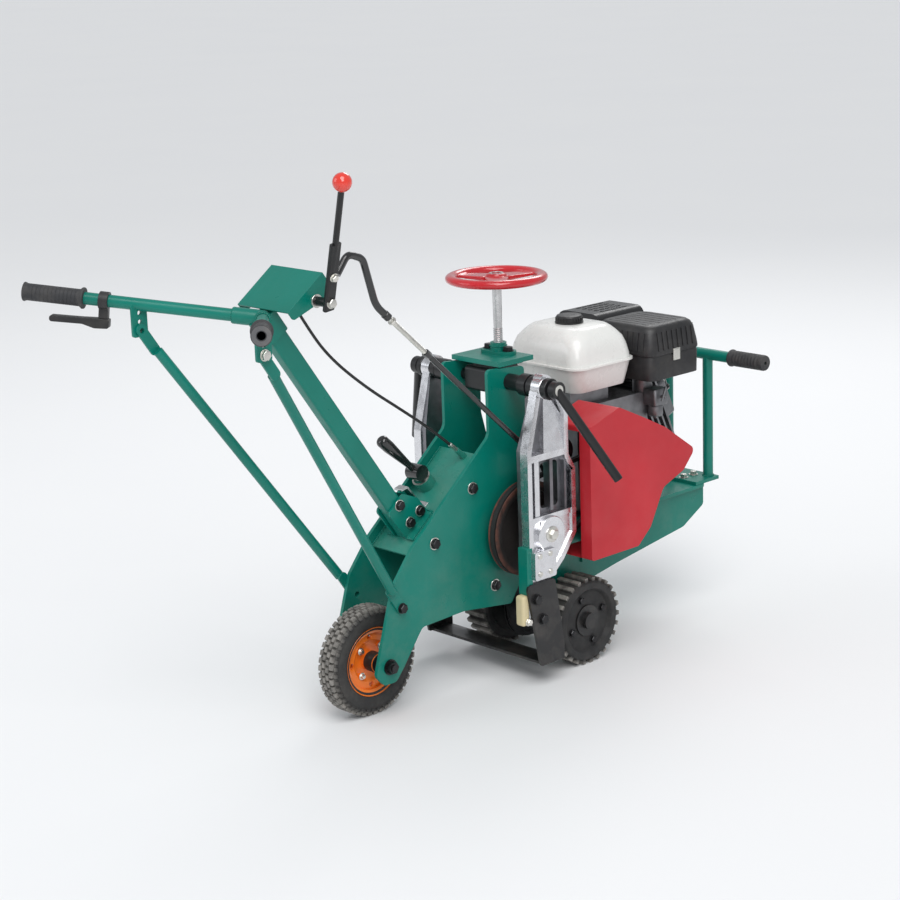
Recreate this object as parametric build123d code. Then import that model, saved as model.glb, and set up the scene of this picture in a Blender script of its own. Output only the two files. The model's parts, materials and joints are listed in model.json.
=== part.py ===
from build123d import *
import math
import os

# Walk-behind sod cutter: +X forward, +Y to the machine's left, +Z up, millimetres.
# Heights are above the ground. Stations (x) are measured forward from the rear axle,
# and the finished pieces are moved back by ORIGIN_X, so that the origin is under the middle.

# Rear wheel
TYRE_D = 225.0
TYRE_W = 52.0
RIM_D = 138.0
RIM_SHEET = 3.0
RIM_BOLTS = 4
HUB_D = 40.0
HUB_L = 74.0
AXLE_D = 16.0

# Frame
FRAME_W = 138.0
PLATE_T = 8.0
LOBE_R = 37.0
DECK_SLOPE = 40.0
DECK_T = 5.0
DECK_DROP = 20.0
HORN_REAR_X = 295.0
HORN_W = 106.0
HORN_TOP_Z = 666.0
TIE_D = 22.0
BOLT_D = 12.0

# Front drive wheels
DRIVE_D = 190.0
DRIVE_X = 504.0
DRIVE_W = 66.0
DRIVE_FACE_Y = 145.0
LUG_H = 8.0
LUG_COUNT = 26
DRIVE_SHAFT_D = 25.0

# Knife arms, blade and their drive
PIVOT_X = 357.0
PIVOT_Z = HORN_TOP_Z - 34.0
PIVOT_D = 24.0
CRANK_X = 365.0
CRANK_Z = 325.0
CRANK_D = 30.0
CRANK_THROW = 5.0
ARM_FACE_Y = 168.0
ARM_T = 34.0
BLADE_T = 6.0
BLADE_L = 62.0
BLADE_REAR_X = 334.0
BLADE_Z = 48.0
DISC_D = 200.0
DISC_T = 22.0

# Handle
BAR_D = 24.0
BAR_WALL = 2.0
GRIP_D = 33.0
GRIP_L = 118.0
HANDLE_W = 712.0
HANDLE_TOP_Z = 901.0
HANDLE_REACH_X = -504.0
COLUMN_W = 40.0
COLUMN_D = 30.0
STRUT_D = 20.0

# Hand wheel
WHEEL_D = 212.0
WHEEL_RIM_D = 20.0
WHEEL_X = 397.0
WHEEL_Z = 835.0
SPOKE_TURN = 107.0
SPOKE_W = 24.0
SCREW_D = 20.0

# Engine
ENGINE_PLATE_Z = 290.0
ENGINE_PLATE_T = 8.0
ENGINE_X = 700.0

# Front handle
FRONT_X = 1000.0
FRONT_Z = 580.0
FRONT_W = 446.0
FRONT_BAR_D = 25.0
POST_GAP = 117.0

# Clearances
RUN = 0.05
GAP = 0.3

ORIGIN_X = (FRONT_X + FRONT_BAR_D / 2 + HANDLE_REACH_X) / 2
AXLE_Z = TYRE_D / 2
DRIVE_Z = DRIVE_D / 2
PLATE_IN = FRAME_W / 2 - PLATE_T
SIDES = {"left": 1, "right": -1}
UP = (Align.CENTER, Align.CENTER, Align.MIN)


def outline(points):
    """Flat face from points; a point may carry a corner radius as its third value."""
    corners = [(p[0], p[1]) for p in points]
    face = make_face(Polyline(*corners, close=True))
    for p in points:
        if len(p) == 3:
            near = [v for v in face.vertices() if (v.center() - Vector(p[0], p[1], 0)).length < 0.01]
            face = fillet(near, p[2])
    return face


def side_plate(face, y, thick):
    """Sheet of the given (x, z) outline between y and y + thick."""
    return Pos(0, y + thick, 0) * Rot(90, 0, 0) * extrude(face, thick)


def rod(start, end, diameter):
    """Round bar from start to end."""
    a, b = Vector(*start), Vector(*end)
    return Plane(origin=a, z_dir=b - a) * Cylinder(diameter / 2, (b - a).length, align=UP)


def tube(start, end, diameter, wall):
    """Round tube from start to end, open at both ends."""
    return rod(start, end, diameter) - rod(start, end, diameter - 2 * wall)


def cross(x, z, y0, y1, diameter):
    """Round bar along Y at (x, z)."""
    return rod((x, y0, z), (x, y1, z), diameter)


def bolt_head(side, size, height=7.0):
    """Hexagon head standing on a face that looks along side * Y."""
    head = extrude(RegularPolygon(size * 0.9, 6), height)
    return Rot(-90 * side, 0, 0) * head


def mirror_y(shape):
    return mirror(shape, about=Plane.XZ)


def both_sides(make):
    """Left piece and its mirror image, as one node."""
    left = make(1)
    return Compound(children=[left, mirror_y(left)])


def save(name, shape):
    """Write one node, of one or more solids, in the part's own frame."""
    shapes = shape if isinstance(shape, list) else [shape]
    solids = [Pos(-ORIGIN_X, 0, 0) * solid for one in shapes for solid in one.solids()]
    export_step(Compound(children=solids), os.path.join("parts", name + ".step"))


os.makedirs("parts", exist_ok=True)


# Rear wheel: tyre, split rim on its hub, and the fixed axle with its nuts

def rear_tyre():
    r = TYRE_D / 2
    h = TYRE_W / 2
    seat = RIM_D / 2 - 6
    profile = outline([
        (seat, -h + 8, 4), (r - 30, -h, 8), (r - 10, -h + 3, 6), (r, -h + 13, 8),
        (r, h - 13, 8), (r - 10, h - 3, 6), (r - 30, h, 8), (seat, h - 8, 4),
    ])
    return revolve(Rot(0, 0, 0) * profile, Axis.Y)


def rear_rim():
    lip = RIM_D / 2
    seat = lip - 6 - GAP
    half = TYRE_W / 2 - 8
    barrel = outline([
        (seat - RIM_SHEET, -half + 1), (seat, -half + 1), (seat, half - 1), (seat - RIM_SHEET, half - 1),
    ])
    ring = revolve(barrel, Axis.Y)
    web = revolve(outline([
        (HUB_D / 2 - 2, -RIM_SHEET), (34, -RIM_SHEET), (44, -10), (seat - 1, -10),
        (seat - 1, -10 + 2 * RIM_SHEET), (46, -10 + 2 * RIM_SHEET), (36, RIM_SHEET), (HUB_D / 2 - 2, RIM_SHEET),
    ]), Axis.Y)
    hub = cross(0, 0, -HUB_L / 2, HUB_L / 2, HUB_D)
    rim = ring + web + hub
    for k in range(RIM_BOLTS):
        turn = Rot(0, 45 + 360 / RIM_BOLTS * k, 0)
        rim += turn * cross(40 - 3, 0, -12, 10, 9)
        rim -= Rot(0, 360 / RIM_BOLTS * k, 0) * cross(50, 0, -20, 10, 12)
    rim -= cross(0, 0, -HUB_L, HUB_L, AXLE_D + 2 * RUN)
    return rim


def rear_axle():
    out = FRAME_W / 2
    axle = cross(0, 0, -out - 16, out + 16, AXLE_D)
    for side in SIDES.values():
        nut = Rot(90, 0, 0) * extrude(RegularPolygon(13, 6), 10)
        axle += Pos(0, side * (out + 3 + 10 * (side > 0)), 0) * nut
        axle += cross(0, 0, side * out, side * (out + 3), 32)
        axle += cross(0, 0, side * (HUB_L / 2 + 1), side * PLATE_IN, 26)
    return axle


save("rear_tyre", Pos(0, 0, AXLE_Z) * rear_tyre())
save("rear_rim", Pos(0, 0, AXLE_Z) * rear_rim())
save("rear_axle", Pos(0, 0, AXLE_Z) * rear_axle())


# Frame: two cut side plates with a fork lobe, a sloped top edge and a tall horn each

SLOPE = math.radians(DECK_SLOPE)
DECK_REAR = (73.0, 343.0)
HORN_FRONT_X = HORN_REAR_X + HORN_W
HORN_FOOT_Z = DECK_REAR[1] + (HORN_REAR_X - DECK_REAR[0]) * math.tan(SLOPE)
CHASSIS_TOP_Z = ENGINE_PLATE_Z - ENGINE_PLATE_T
CHASSIS_FRONT_X = FRONT_X - 30
TIE_SPOTS = [(133.0, 338.0), (243.0, 430.0), (300.0, 210.0)]
STRUT_BOLT = (34.0, 228.0)


def plate_outline():
    return outline([
        (-LOBE_R, AXLE_Z - 12, 14), (-16, AXLE_Z - LOBE_R + 1, 16), (16, AXLE_Z - LOBE_R + 1, 16),
        (LOBE_R, AXLE_Z - 12, 14), (92, 172, 18), (210, 176), (346, 158, 8), (372, 196), (430, 206, 20),
        (DRIVE_X - 44, DRIVE_Z - 6, 16), (DRIVE_X - 22, DRIVE_Z - 44, 16),
        (DRIVE_X + 22, DRIVE_Z - 44, 16), (DRIVE_X + 44, DRIVE_Z - 6, 16), (DRIVE_X + 66, 150, 20),
        (DRIVE_X + 170, 168, 30), (CHASSIS_FRONT_X - 70, 200, 20), (CHASSIS_FRONT_X, 238, 10), (CHASSIS_FRONT_X, CHASSIS_TOP_Z, 4),
        (HORN_FRONT_X + 70, CHASSIS_TOP_Z, 26), (HORN_FRONT_X + 32, 340, 30), (HORN_FRONT_X + 20, 470, 30),
        (HORN_FRONT_X, 540, 30), (HORN_FRONT_X, HORN_TOP_Z - 8, 10), (HORN_REAR_X, HORN_TOP_Z, 10),
        (HORN_REAR_X, HORN_FOOT_Z, 24), DECK_REAR, (16, 274, 30),
    ])


def frame_plate():
    holes = [(0, AXLE_Z, AXLE_D), (PIVOT_X, PIVOT_Z, PIVOT_D), (CRANK_X, CRANK_Z, CRANK_D + 24),
             (DRIVE_X, DRIVE_Z, DRIVE_SHAFT_D + 20), (*STRUT_BOLT, BOLT_D)]
    holes += [(x, z, BOLT_D) for x, z in TIE_SPOTS]
    face = plate_outline()
    for x, z, d in holes:
        face -= Pos(x, z) * Circle(d / 2)
    return side_plate(face, PLATE_IN, PLATE_T)


def deck_point(x, drop=DECK_DROP):
    """Point of the deck's top surface at station x, as (x, z)."""
    return (x, DECK_REAR[1] + (x - DECK_REAR[0]) * math.tan(SLOPE) - drop / math.cos(SLOPE))


def deck_plane(x):
    """Plane on the deck's top surface: local X runs up the slope, local Z is its normal."""
    px, pz = deck_point(x)
    return Plane(origin=(px, 0, pz), x_dir=(math.cos(SLOPE), 0, math.sin(SLOPE)),
                 z_dir=(-math.sin(SLOPE), 0, math.cos(SLOPE)))


DECK_L = 262.0
DECK_START_X = DECK_REAR[0] + 6
DECK_FRONT_X = DECK_START_X + DECK_L * math.cos(SLOPE)


def deck():
    sheet = Box(DECK_L, 2 * PLATE_IN, DECK_T, align=(Align.MIN, Align.CENTER, Align.MAX))
    flange = Box(DECK_L - 30, DECK_T, 34, align=(Align.MIN, Align.MIN, Align.MAX))
    body = sheet + Pos(15, PLATE_IN - DECK_T, 0) * flange + Pos(15, -PLATE_IN, 0) * flange
    apron = Pos(DECK_L, 0, 0) * Box(DECK_T, 2 * PLATE_IN, 40, align=(Align.MAX, Align.CENTER, Align.MAX))
    post = Pos(0, CLUB_BASE[1], 0) * Cylinder(CLUB_POST_D / 2, CLUB_POST_H, align=UP)
    return deck_plane(DECK_START_X) * (body + apron) + deck_plane(CLUB_BASE[0]) * post + cable_stop()


CLUB_BASE = (206.0, 26.0)
CLUB_POST_D = 40.0
CLUB_POST_H = 26.0
CABLE_D = 6.0
STOP_X = DECK_FRONT_X - 27.7
STOP_LIFT = 32.9
CABLE = [(-160, 12, 900), (-112, 11, 822), (-58, 8, 745), (32, 4, 668), (130, 0, 600), (206, -8, 543),
         (STOP_X, -16, deck_point(STOP_X)[1] + STOP_LIFT)]
CABLE_RADII = [500, 240, 700, 900, 500]
STOP_L = 26.0


def cable_stop():
    """Barrel that receives the cable's end, on a lug of the deck."""
    end = Vector(*CABLE[-1])
    way = (end - Vector(*CABLE[-2])).normalized()
    barrel = rod(end + way * GAP, end + way * STOP_L, 2 * CABLE_D)
    middle = end + way * STOP_L * 0.6
    plane = deck_plane(middle.X)
    lift = plane.to_local_coords(middle)
    lug = Pos(lift.X, lift.Y, -1) * Box(12, 10, lift.Z + 1, align=UP)
    return barrel + plane * lug


def frame_ties():
    ties = []
    for x, z in TIE_SPOTS[2:]:
        ties.append(cross(x, z, -PLATE_IN, PLATE_IN, TIE_D))
    for x, z in [(CHASSIS_FRONT_X - 40, 250.0), (600.0, 240.0)]:
        ties.append(cross(x, z, -PLATE_IN, PLATE_IN, TIE_D))
    return ties


def frame_bolts():
    """Through bolts at the marked spots, with a head on each outer face."""
    bolts = []
    for x, z in TIE_SPOTS:
        for side in SIDES.values():
            head = Pos(x, side * FRAME_W / 2, z) * bolt_head(side, BOLT_D)
            bolts.append(head)
    for u, w in COLUMN_BOLTS:
        for side in SIDES.values():
            y = side * (COLUMN_D / 2 + GAP + BRACKET_T)
            bolts.append(FOOT_PLANE * Pos(u, y, w) * bolt_head(side, BOLT_D - 1))
    for side in SIDES.values():
        low_y = side * (FRAME_W / 2 + GAP / 2 + STRUT_FLAT_T)
        bolts.append(Pos(STRUT_BOLT[0], low_y, STRUT_BOLT[1]) * bolt_head(side, BOLT_D - 1))
        high_y = side * (TAB_BOLT.Y + TAB_T)
        bolts.append(Pos(TAB_BOLT.X, high_y, TAB_BOLT.Z) * bolt_head(side, BOLT_D - 1))
    return bolts


plate = frame_plate()
save("side_plate_left", plate)
save("side_plate_right", mirror_y(plate))
save("deck_plate", deck())
save("frame_ties", frame_ties())


# Engine plate across the chassis, on the plates' top edges

ENGINE_PLATE_REAR_X = HORN_FRONT_X + 90
ENGINE_PLATE_FRONT_X = CHASSIS_FRONT_X
ENGINE_PLATE_RIGHT_Y = -80.0
ENGINE_PLATE_LEFT_Y = 150.0


def engine_plate():
    length = ENGINE_PLATE_FRONT_X - ENGINE_PLATE_REAR_X
    width = ENGINE_PLATE_LEFT_Y - ENGINE_PLATE_RIGHT_Y
    middle = ((ENGINE_PLATE_FRONT_X + ENGINE_PLATE_REAR_X) / 2, (ENGINE_PLATE_LEFT_Y + ENGINE_PLATE_RIGHT_Y) / 2)
    face = Pos(*middle) * RectangleRounded(length, width, 16)
    return Pos(0, 0, CHASSIS_TOP_Z) * extrude(face, ENGINE_PLATE_T)


save("engine_plate", engine_plate())


# Bridge plate on the horns, that carries the depth screw

BRIDGE_T = 10.0
BRIDGE_REAR_X = 328.0
BRIDGE_FRONT_X = WHEEL_X + 32
FLANGE_T = 8.0


def screw_bridge():
    length = BRIDGE_FRONT_X - BRIDGE_REAR_X
    plate_top = Pos(BRIDGE_REAR_X, 0, HORN_TOP_Z) * Box(
        length, FRAME_W, BRIDGE_T, align=(Align.MIN, Align.CENTER, Align.MIN))
    z = HORN_TOP_Z + BRIDGE_T
    flange = Pos(WHEEL_X, 0, z) * extrude(SlotOverall(86, 44, rotation=90), FLANGE_T)
    boss = Pos(WHEEL_X, 0, z) * Cylinder(17, FLANGE_T + 16, align=UP)
    body = plate_top + flange + boss
    for side in SIDES.values():
        body += Pos(WHEEL_X, side * 28, z + FLANGE_T) * extrude(RegularPolygon(9, 6), 7)
    return body - Pos(WHEEL_X, 0, HORN_TOP_Z - 1) * Cylinder(SCREW_D / 2 + RUN, 60, align=UP)


save("screw_bridge", screw_bridge())


# Cross shaft through the horns, on which the arms hang

PIVOT_OUT = ARM_FACE_Y + 42
BUSH_D = 46.0
BUSH_W = 22.0
ARM_INNER_Y = ARM_FACE_Y - ARM_T
ARM_SIDE_GAP = 2.0


def cross_shaft():
    shaft = cross(PIVOT_X, PIVOT_Z, -PIVOT_OUT, PIVOT_OUT, PIVOT_D)
    for side in SIDES.values():
        inner = ARM_INNER_Y - ARM_SIDE_GAP
        shaft += cross(PIVOT_X, PIVOT_Z, side * FRAME_W / 2, side * inner, PIVOT_D + 10)
        shaft += cross(PIVOT_X, PIVOT_Z, side * (inner - BUSH_W), side * inner, BUSH_D)
    return shaft


save("cross_shaft", cross_shaft())


# Trunnion block on the cross shaft, threaded on the depth screw in front of it

BLOCK_H = 50.0
BLOCK_W = 64.0


def trunnion_block():
    rear, front = PIVOT_X - 28, WHEEL_X + 24
    block = Pos(rear, 0, PIVOT_Z) * Box(front - rear, BLOCK_W, BLOCK_H, align=(Align.MIN, Align.CENTER, Align.CENTER))
    block = fillet(block.edges().filter_by(Axis.Y), 9)
    block -= cross(PIVOT_X, PIVOT_Z, -BLOCK_W, BLOCK_W, PIVOT_D + 2 * RUN)
    return block - Pos(WHEEL_X, 0, PIVOT_Z - BLOCK_H) * Cylinder(SCREW_D / 2 + RUN, 2 * BLOCK_H, align=UP)


save("trunnion_block", trunnion_block())


# Depth screw and its cast hand wheel

def depth_screw():
    return rod((WHEEL_X, 0, PIVOT_Z - BLOCK_H / 2 - 14), (WHEEL_X, 0, WHEEL_Z + 6), SCREW_D)


def hand_wheel():
    ring = Torus(WHEEL_D / 2 - WHEEL_RIM_D / 2, WHEEL_RIM_D / 2)
    hub = Pos(0, 0, -18) * Cylinder(19, 32, align=UP)
    wheel = ring + hub
    for k in range(3):
        spoke = Pos(WHEEL_D / 4, 0, 0) * Box(WHEEL_D / 2 - 16, SPOKE_W, 9)
        wheel += Rot(0, 0, SPOKE_TURN + 120 * k) * spoke
    bore = Cylinder(SCREW_D / 2 + RUN, 100)
    return Pos(WHEEL_X, 0, WHEEL_Z) * (wheel - bore)


save("depth_screw", depth_screw())
save("hand_wheel", hand_wheel())


# Side bars: a tube that leans out, down and forward from each end of the cross shaft

SIDE_BAR_D = 19.0
SIDE_BAR_END = (430.0, 300.0, 448.0)


def side_bar(sign):
    eye_y = PIVOT_OUT - 16
    start = Vector(PIVOT_X, sign * (eye_y + 8), PIVOT_Z)
    end = Vector(SIDE_BAR_END[0], sign * SIDE_BAR_END[1], SIDE_BAR_END[2])
    bar = rod(start, end, SIDE_BAR_D)
    bar += cross(PIVOT_X, PIVOT_Z, sign * eye_y, sign * (eye_y + 16), PIVOT_D + 12)
    return bar - cross(PIVOT_X, PIVOT_Z, sign * (eye_y - 10), sign * (PIVOT_OUT + RUN), PIVOT_D + 2 * RUN)


save("side_bars", both_sides(side_bar))


# Knife arms: one casting a side, hung on the cross shaft and shaken by the crank shaft

CRANK_HOLE_D = CRANK_D + 2 * CRANK_THROW + 20
ARM_FOOT_Z = 236.0
LEG_T = 20.0
LEG_END_Z = 132.0
BLADE_HALF_W = ARM_FACE_Y + 4
LEG_OUT_Y = BLADE_HALF_W - BLADE_T - GAP


def arm_outline():
    return outline([
        (PIVOT_X - 30, PIVOT_Z + 8, 24), (PIVOT_X - 8, PIVOT_Z + 32, 20), (PIVOT_X + 10, PIVOT_Z + 32, 20),
        (PIVOT_X + 32, PIVOT_Z + 8, 20), (424, 574, 20), (424, 482, 10), (443, 450, 10), (443, 312, 10),
        (404, 262, 16), (374, ARM_FOOT_Z), (304, ARM_FOOT_Z), (304, 510, 30),
    ])


def arm_leg():
    """Tongue below the casting's foot, to which the blade is bolted."""
    return side_plate(outline([
        (304, ARM_FOOT_Z + 20), (304, ARM_FOOT_Z - 20), (318, LEG_END_Z, 8), (360, LEG_END_Z, 8),
        (366, ARM_FOOT_Z - 20), (366, ARM_FOOT_Z + 20),
    ]), LEG_OUT_Y - LEG_T, LEG_T)


def knife_arm():
    body = side_plate(arm_outline(), ARM_INNER_Y, ARM_T) + arm_leg()
    face = outline([(322, 556, 8), (346, 590, 8), (412, 572, 8), (410, 492, 8), (318, 492, 8)])
    body -= side_plate(face, ARM_FACE_Y - 9, 30)
    window = Pos(382, 424) * RectangleRounded(52, 96, 10)
    body -= side_plate(window, ARM_INNER_Y - 5, ARM_T + 10)
    rib = Pos(382, 424) * Rectangle(9, 98)
    body += side_plate(rib, ARM_INNER_Y + 6, 8)
    boss = cross(CRANK_X + 8, CRANK_Z, ARM_INNER_Y, ARM_FACE_Y + 6, 76)
    body += boss
    body -= cross(CRANK_X, CRANK_Z, ARM_INNER_Y - 1, ARM_FACE_Y - 4, CRANK_HOLE_D)
    body += cross(PIVOT_X, PIVOT_Z, ARM_FACE_Y, ARM_FACE_Y + 6, 44)
    body -= cross(PIVOT_X, PIVOT_Z, ARM_INNER_Y - 1, ARM_FACE_Y + 7, PIVOT_D + 2 * RUN)
    block = Pos(338, ARM_FACE_Y, 268) * Box(62, 12, 60, align=(Align.CENTER, Align.MIN, Align.CENTER))
    body += fillet(block.edges().filter_by(Axis.Y), 6)
    return body


arm = knife_arm()
save("knife_arm_left", arm)
save("knife_arm_right", mirror_y(arm))


# Blade: a flat cutting bar between two upright side plates that bolt to the arms' legs

BLADE_BOLTS = [(316.0, 196.0), (333.0, 150.0)]
BLADE_TOP_Z = ARM_FOOT_Z - 6


def blade():
    bottom = outline([(BLADE_REAR_X, BLADE_Z), (BLADE_REAR_X, BLADE_Z + BLADE_T),
                      (BLADE_REAR_X + BLADE_L - 24, BLADE_Z + BLADE_T), (BLADE_REAR_X + BLADE_L, BLADE_Z)])
    bar = side_plate(bottom, -BLADE_HALF_W + 1, 2 * BLADE_HALF_W - 2)
    side = outline([(290, BLADE_TOP_Z, 10), (372, BLADE_TOP_Z, 10), (BLADE_REAR_X + BLADE_L, BLADE_Z + 40, 30),
                    (BLADE_REAR_X + BLADE_L, BLADE_Z), (BLADE_REAR_X - 8, BLADE_Z, 5)])
    upright = side_plate(side, BLADE_HALF_W - BLADE_T, BLADE_T)
    return bar + upright + mirror_y(upright)


def blade_bolts():
    bolts = []
    for sign in SIDES.values():
        for x, z in BLADE_BOLTS:
            bolts.append(Pos(x, sign * BLADE_HALF_W, z) * bolt_head(sign, BOLT_D, 8))
    return bolts


WEAR_BLOCK_W = 24.0


def wear_blocks():
    """Pale block on the rear edge of each arm's leg."""
    blocks = []
    for sign in SIDES.values():
        block = Box(20, WEAR_BLOCK_W, 88, align=(Align.MAX, Align.CENTER, Align.MIN))
        y = sign * (LEG_OUT_Y - LEG_T / 2 - 2)
        blocks.append(Pos(304, y, 144) * fillet(block.edges().filter_by(Axis.Y), 5))
    return blocks


save("blade", blade())
save("blade_bolts", blade_bolts())
save("wear_blocks", wear_blocks())


# Crank shaft that shakes the arms, with its driving disc on the right

BEARING_T = 14.0
DISC_Y = -(FRAME_W / 2 + BEARING_T + 5 + DISC_T / 2)
GROOVE_DEEP = 12.0


def crank_shaft():
    end = ARM_INNER_Y - 4
    shaft = cross(CRANK_X, CRANK_Z, -end, end, CRANK_D)
    for sign in SIDES.values():
        shaft += cross(CRANK_X, CRANK_Z + CRANK_THROW, sign * end, sign * (ARM_FACE_Y - 10), CRANK_D)
    return shaft


def pulley(radius, bore, width):
    """V-belt pulley about Y: rim with one groove, thin web and a hub."""
    h = width / 2
    hub = bore / 2 + 12
    floor = radius - GROOVE_DEEP
    web = 5.0
    points = [(bore / 2, -h), (hub, -h)]
    if floor - 8 > hub + 10:
        points += [(hub, -web), (floor - 6, -web)]
    points += [(floor - 6, -h), (radius, -h), (radius, 2 - h), (floor, -4), (floor, 4), (radius, h - 2), (radius, h)]
    points += [(floor - 6, h)]
    if floor - 8 > hub + 10:
        points += [(floor - 6, web), (hub, web)]
    points += [(hub, h), (bore / 2, h)]
    return revolve(outline(points), Axis.Y)


def crank_bearing(side):
    """Flanged bearing on the outer face of the side plate."""
    face = side * FRAME_W / 2
    ring = cross(CRANK_X, CRANK_Z, face, face + side * BEARING_T, 74)
    return ring - cross(CRANK_X, CRANK_Z, face - 1, face + side * BEARING_T + 1, CRANK_D + 2 * RUN)


save("crank_shaft", crank_shaft())
save("drive_disc", Pos(CRANK_X, DISC_Y, CRANK_Z) * pulley(DISC_D / 2, CRANK_D + 2 * RUN, DISC_T))
save("crank_bearings", both_sides(crank_bearing))


# Front drive wheels with cross lugs, on one shaft in two flanged bearings

DRIVE_HUB_D = 68.0
DRIVE_IN_Y = DRIVE_FACE_Y - DRIVE_W


def drive_wheel(sign):
    r = DRIVE_D / 2
    bore = DRIVE_HUB_D / 2
    tread = r - LUG_H
    body = outline([
        (bore, DRIVE_IN_Y + 6), (r - 30, DRIVE_IN_Y + 6), (r - 24, DRIVE_IN_Y, 4), (tread - 4, DRIVE_IN_Y, 4),
        (tread, DRIVE_IN_Y + 5, 3), (tread, DRIVE_FACE_Y - 5, 3), (tread - 4, DRIVE_FACE_Y, 4),
        (r - 24, DRIVE_FACE_Y, 4), (r - 30, DRIVE_FACE_Y - 10), (bore, DRIVE_FACE_Y - 10),
    ])
    tyre = revolve(body, Axis.Y)
    lug = Box(LUG_H + 3, DRIVE_W - 6, 9, align=(Align.MAX, Align.CENTER, Align.CENTER))
    lug = Pos(r, DRIVE_IN_Y + DRIVE_W / 2, 0) * lug
    lugs = [Rot(0, 360 / LUG_COUNT * (k + 0.25), 0) * lug for k in range(LUG_COUNT)]
    return Pos(DRIVE_X, 0, DRIVE_Z) * (tyre + lugs)


def drive_shaft():
    shaft = cross(DRIVE_X, DRIVE_Z, -DRIVE_FACE_Y, DRIVE_FACE_Y, DRIVE_SHAFT_D)
    for sign in SIDES.values():
        face = sign * (DRIVE_FACE_Y - 6)
        shaft += cross(DRIVE_X, DRIVE_Z, sign * (DRIVE_IN_Y - 4), face, DRIVE_HUB_D - 2 * GAP)
        shaft += cross(DRIVE_X, DRIVE_Z, face, sign * (DRIVE_FACE_Y + 4), 36)
    return shaft


def shaft_bearing(side):
    """Flanged bearing on the inner face of the side plate."""
    face = side * PLATE_IN
    ring = cross(DRIVE_X, DRIVE_Z, face - side * 12, face, 60)
    return ring - cross(DRIVE_X, DRIVE_Z, face - side * 13, face + side, DRIVE_SHAFT_D + 2 * RUN)


save("drive_wheels", both_sides(drive_wheel))
save("drive_shaft", drive_shaft())
save("shaft_bearings", both_sides(shaft_bearing))


# Handle: column in its bracket on the deck

COLUMN_FOOT_X = 122.0
COLUMN_TOP = (-218.0, 845.0)
BRACKET_T = 5.0
BRACKET_L = 76.0
BRACKET_H = 74.0
COLUMN_BOLTS = [(6.0, 21.0), (12.0, 70.0), (39.0, 18.0)]
FOOT_PLANE = deck_plane(COLUMN_FOOT_X)


def column_axis():
    foot = Vector(COLUMN_FOOT_X, 0, deck_point(COLUMN_FOOT_X)[1])
    return foot, Vector(COLUMN_TOP[0], 0, COLUMN_TOP[1])


def handle_column():
    foot, top = column_axis()
    way = (top - foot).normalized()
    start = foot - way * 20
    plane = Plane(origin=start, x_dir=(-way.Z, 0, way.X), z_dir=way)
    section = RectangleRounded(COLUMN_W, COLUMN_D, 6) - RectangleRounded(COLUMN_W - 6, COLUMN_D - 6, 3)
    bar = plane * extrude(section, (top - start).length - BAR_D / 2 - 4)
    below = FOOT_PLANE * Box(200, 100, 100, align=(Align.CENTER, Align.CENTER, Align.MAX))
    return bar - below


def deck_side(face, y, thick):
    """Sheet drawn in the deck's own plane: u up the slope, w off the deck."""
    return FOOT_PLANE * side_plate(face, y, thick)


def column_bracket():
    rear = -COLUMN_W / 2 - 3
    cheek = outline([(rear, 0), (rear + 4, BRACKET_H + 6, 10), (34, BRACKET_H + 6, 10), (rear + BRACKET_L, 44, 12),
                     (rear + BRACKET_L, 0)])
    body = None
    for sign in SIDES.values():
        inner = COLUMN_D / 2 + GAP
        y = inner if sign > 0 else -inner - BRACKET_T
        side = deck_side(cheek, y, BRACKET_T)
        foot_y = y + BRACKET_T if sign > 0 else y
        foot = FOOT_PLANE * Pos(rear, foot_y, 0) * Box(
            BRACKET_L, 18, BRACKET_T, align=(Align.MIN, Align.MIN if sign > 0 else Align.MAX, Align.MIN))
        body = side + foot if body is None else body + side + foot
    web = FOOT_PLANE * Pos(rear + BRACKET_L, 0, 0) * Box(
        BRACKET_T, COLUMN_D + 2 * BRACKET_T, 30, align=(Align.MAX, Align.CENTER, Align.MIN))
    return body + web


def bracket_strap():
    """Bare steel strip standing in front of the bracket."""
    u = -COLUMN_W / 2 - 3 + BRACKET_L + GAP
    return deck_side(outline([(u, 0), (u, 70, 3), (u - 14, 78), (u - 12, 81, 2), (u + 4, 74, 6), (u + 4, 4), (u + 16, 4),
                              (u + 16, 0)]), -11, 22)


save("handle_column", handle_column())
save("column_bracket", column_bracket())
save("bracket_strap", bracket_strap())


# Handlebars, swept back from a head block on the column, with rubber grips

HEAD_W = 56.0
SOCKET_D = BAR_D + 8
TAB_AT = 0.52
TAB_T = 6.0
TAB_W = 34.0
TAB_H = 62.0
TAB_HOLES = [0.0, 17.0, 34.0]
STRUT_NECK = 52.0
STRUT_FLAT_T = 5.0
BOLT_LIFT = 12.0


def bar_point(t, sign=1):
    """Point of the handlebar's axis, t from 0 at the column to 1 at the grip's end."""
    root = Vector(COLUMN_TOP[0], 0, COLUMN_TOP[1])
    tip = Vector(HANDLE_REACH_X, sign * HANDLE_W / 2, HANDLE_TOP_Z)
    return root + (tip - root) * t


BAR_LENGTH = (bar_point(1) - bar_point(0)).length
TAB_TOP = bar_point(TAB_AT)
TAB_BOLT = Vector(TAB_TOP.X, TAB_TOP.Y - TAB_T / 2, TAB_TOP.Z - TAB_H + BOLT_LIFT)


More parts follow.
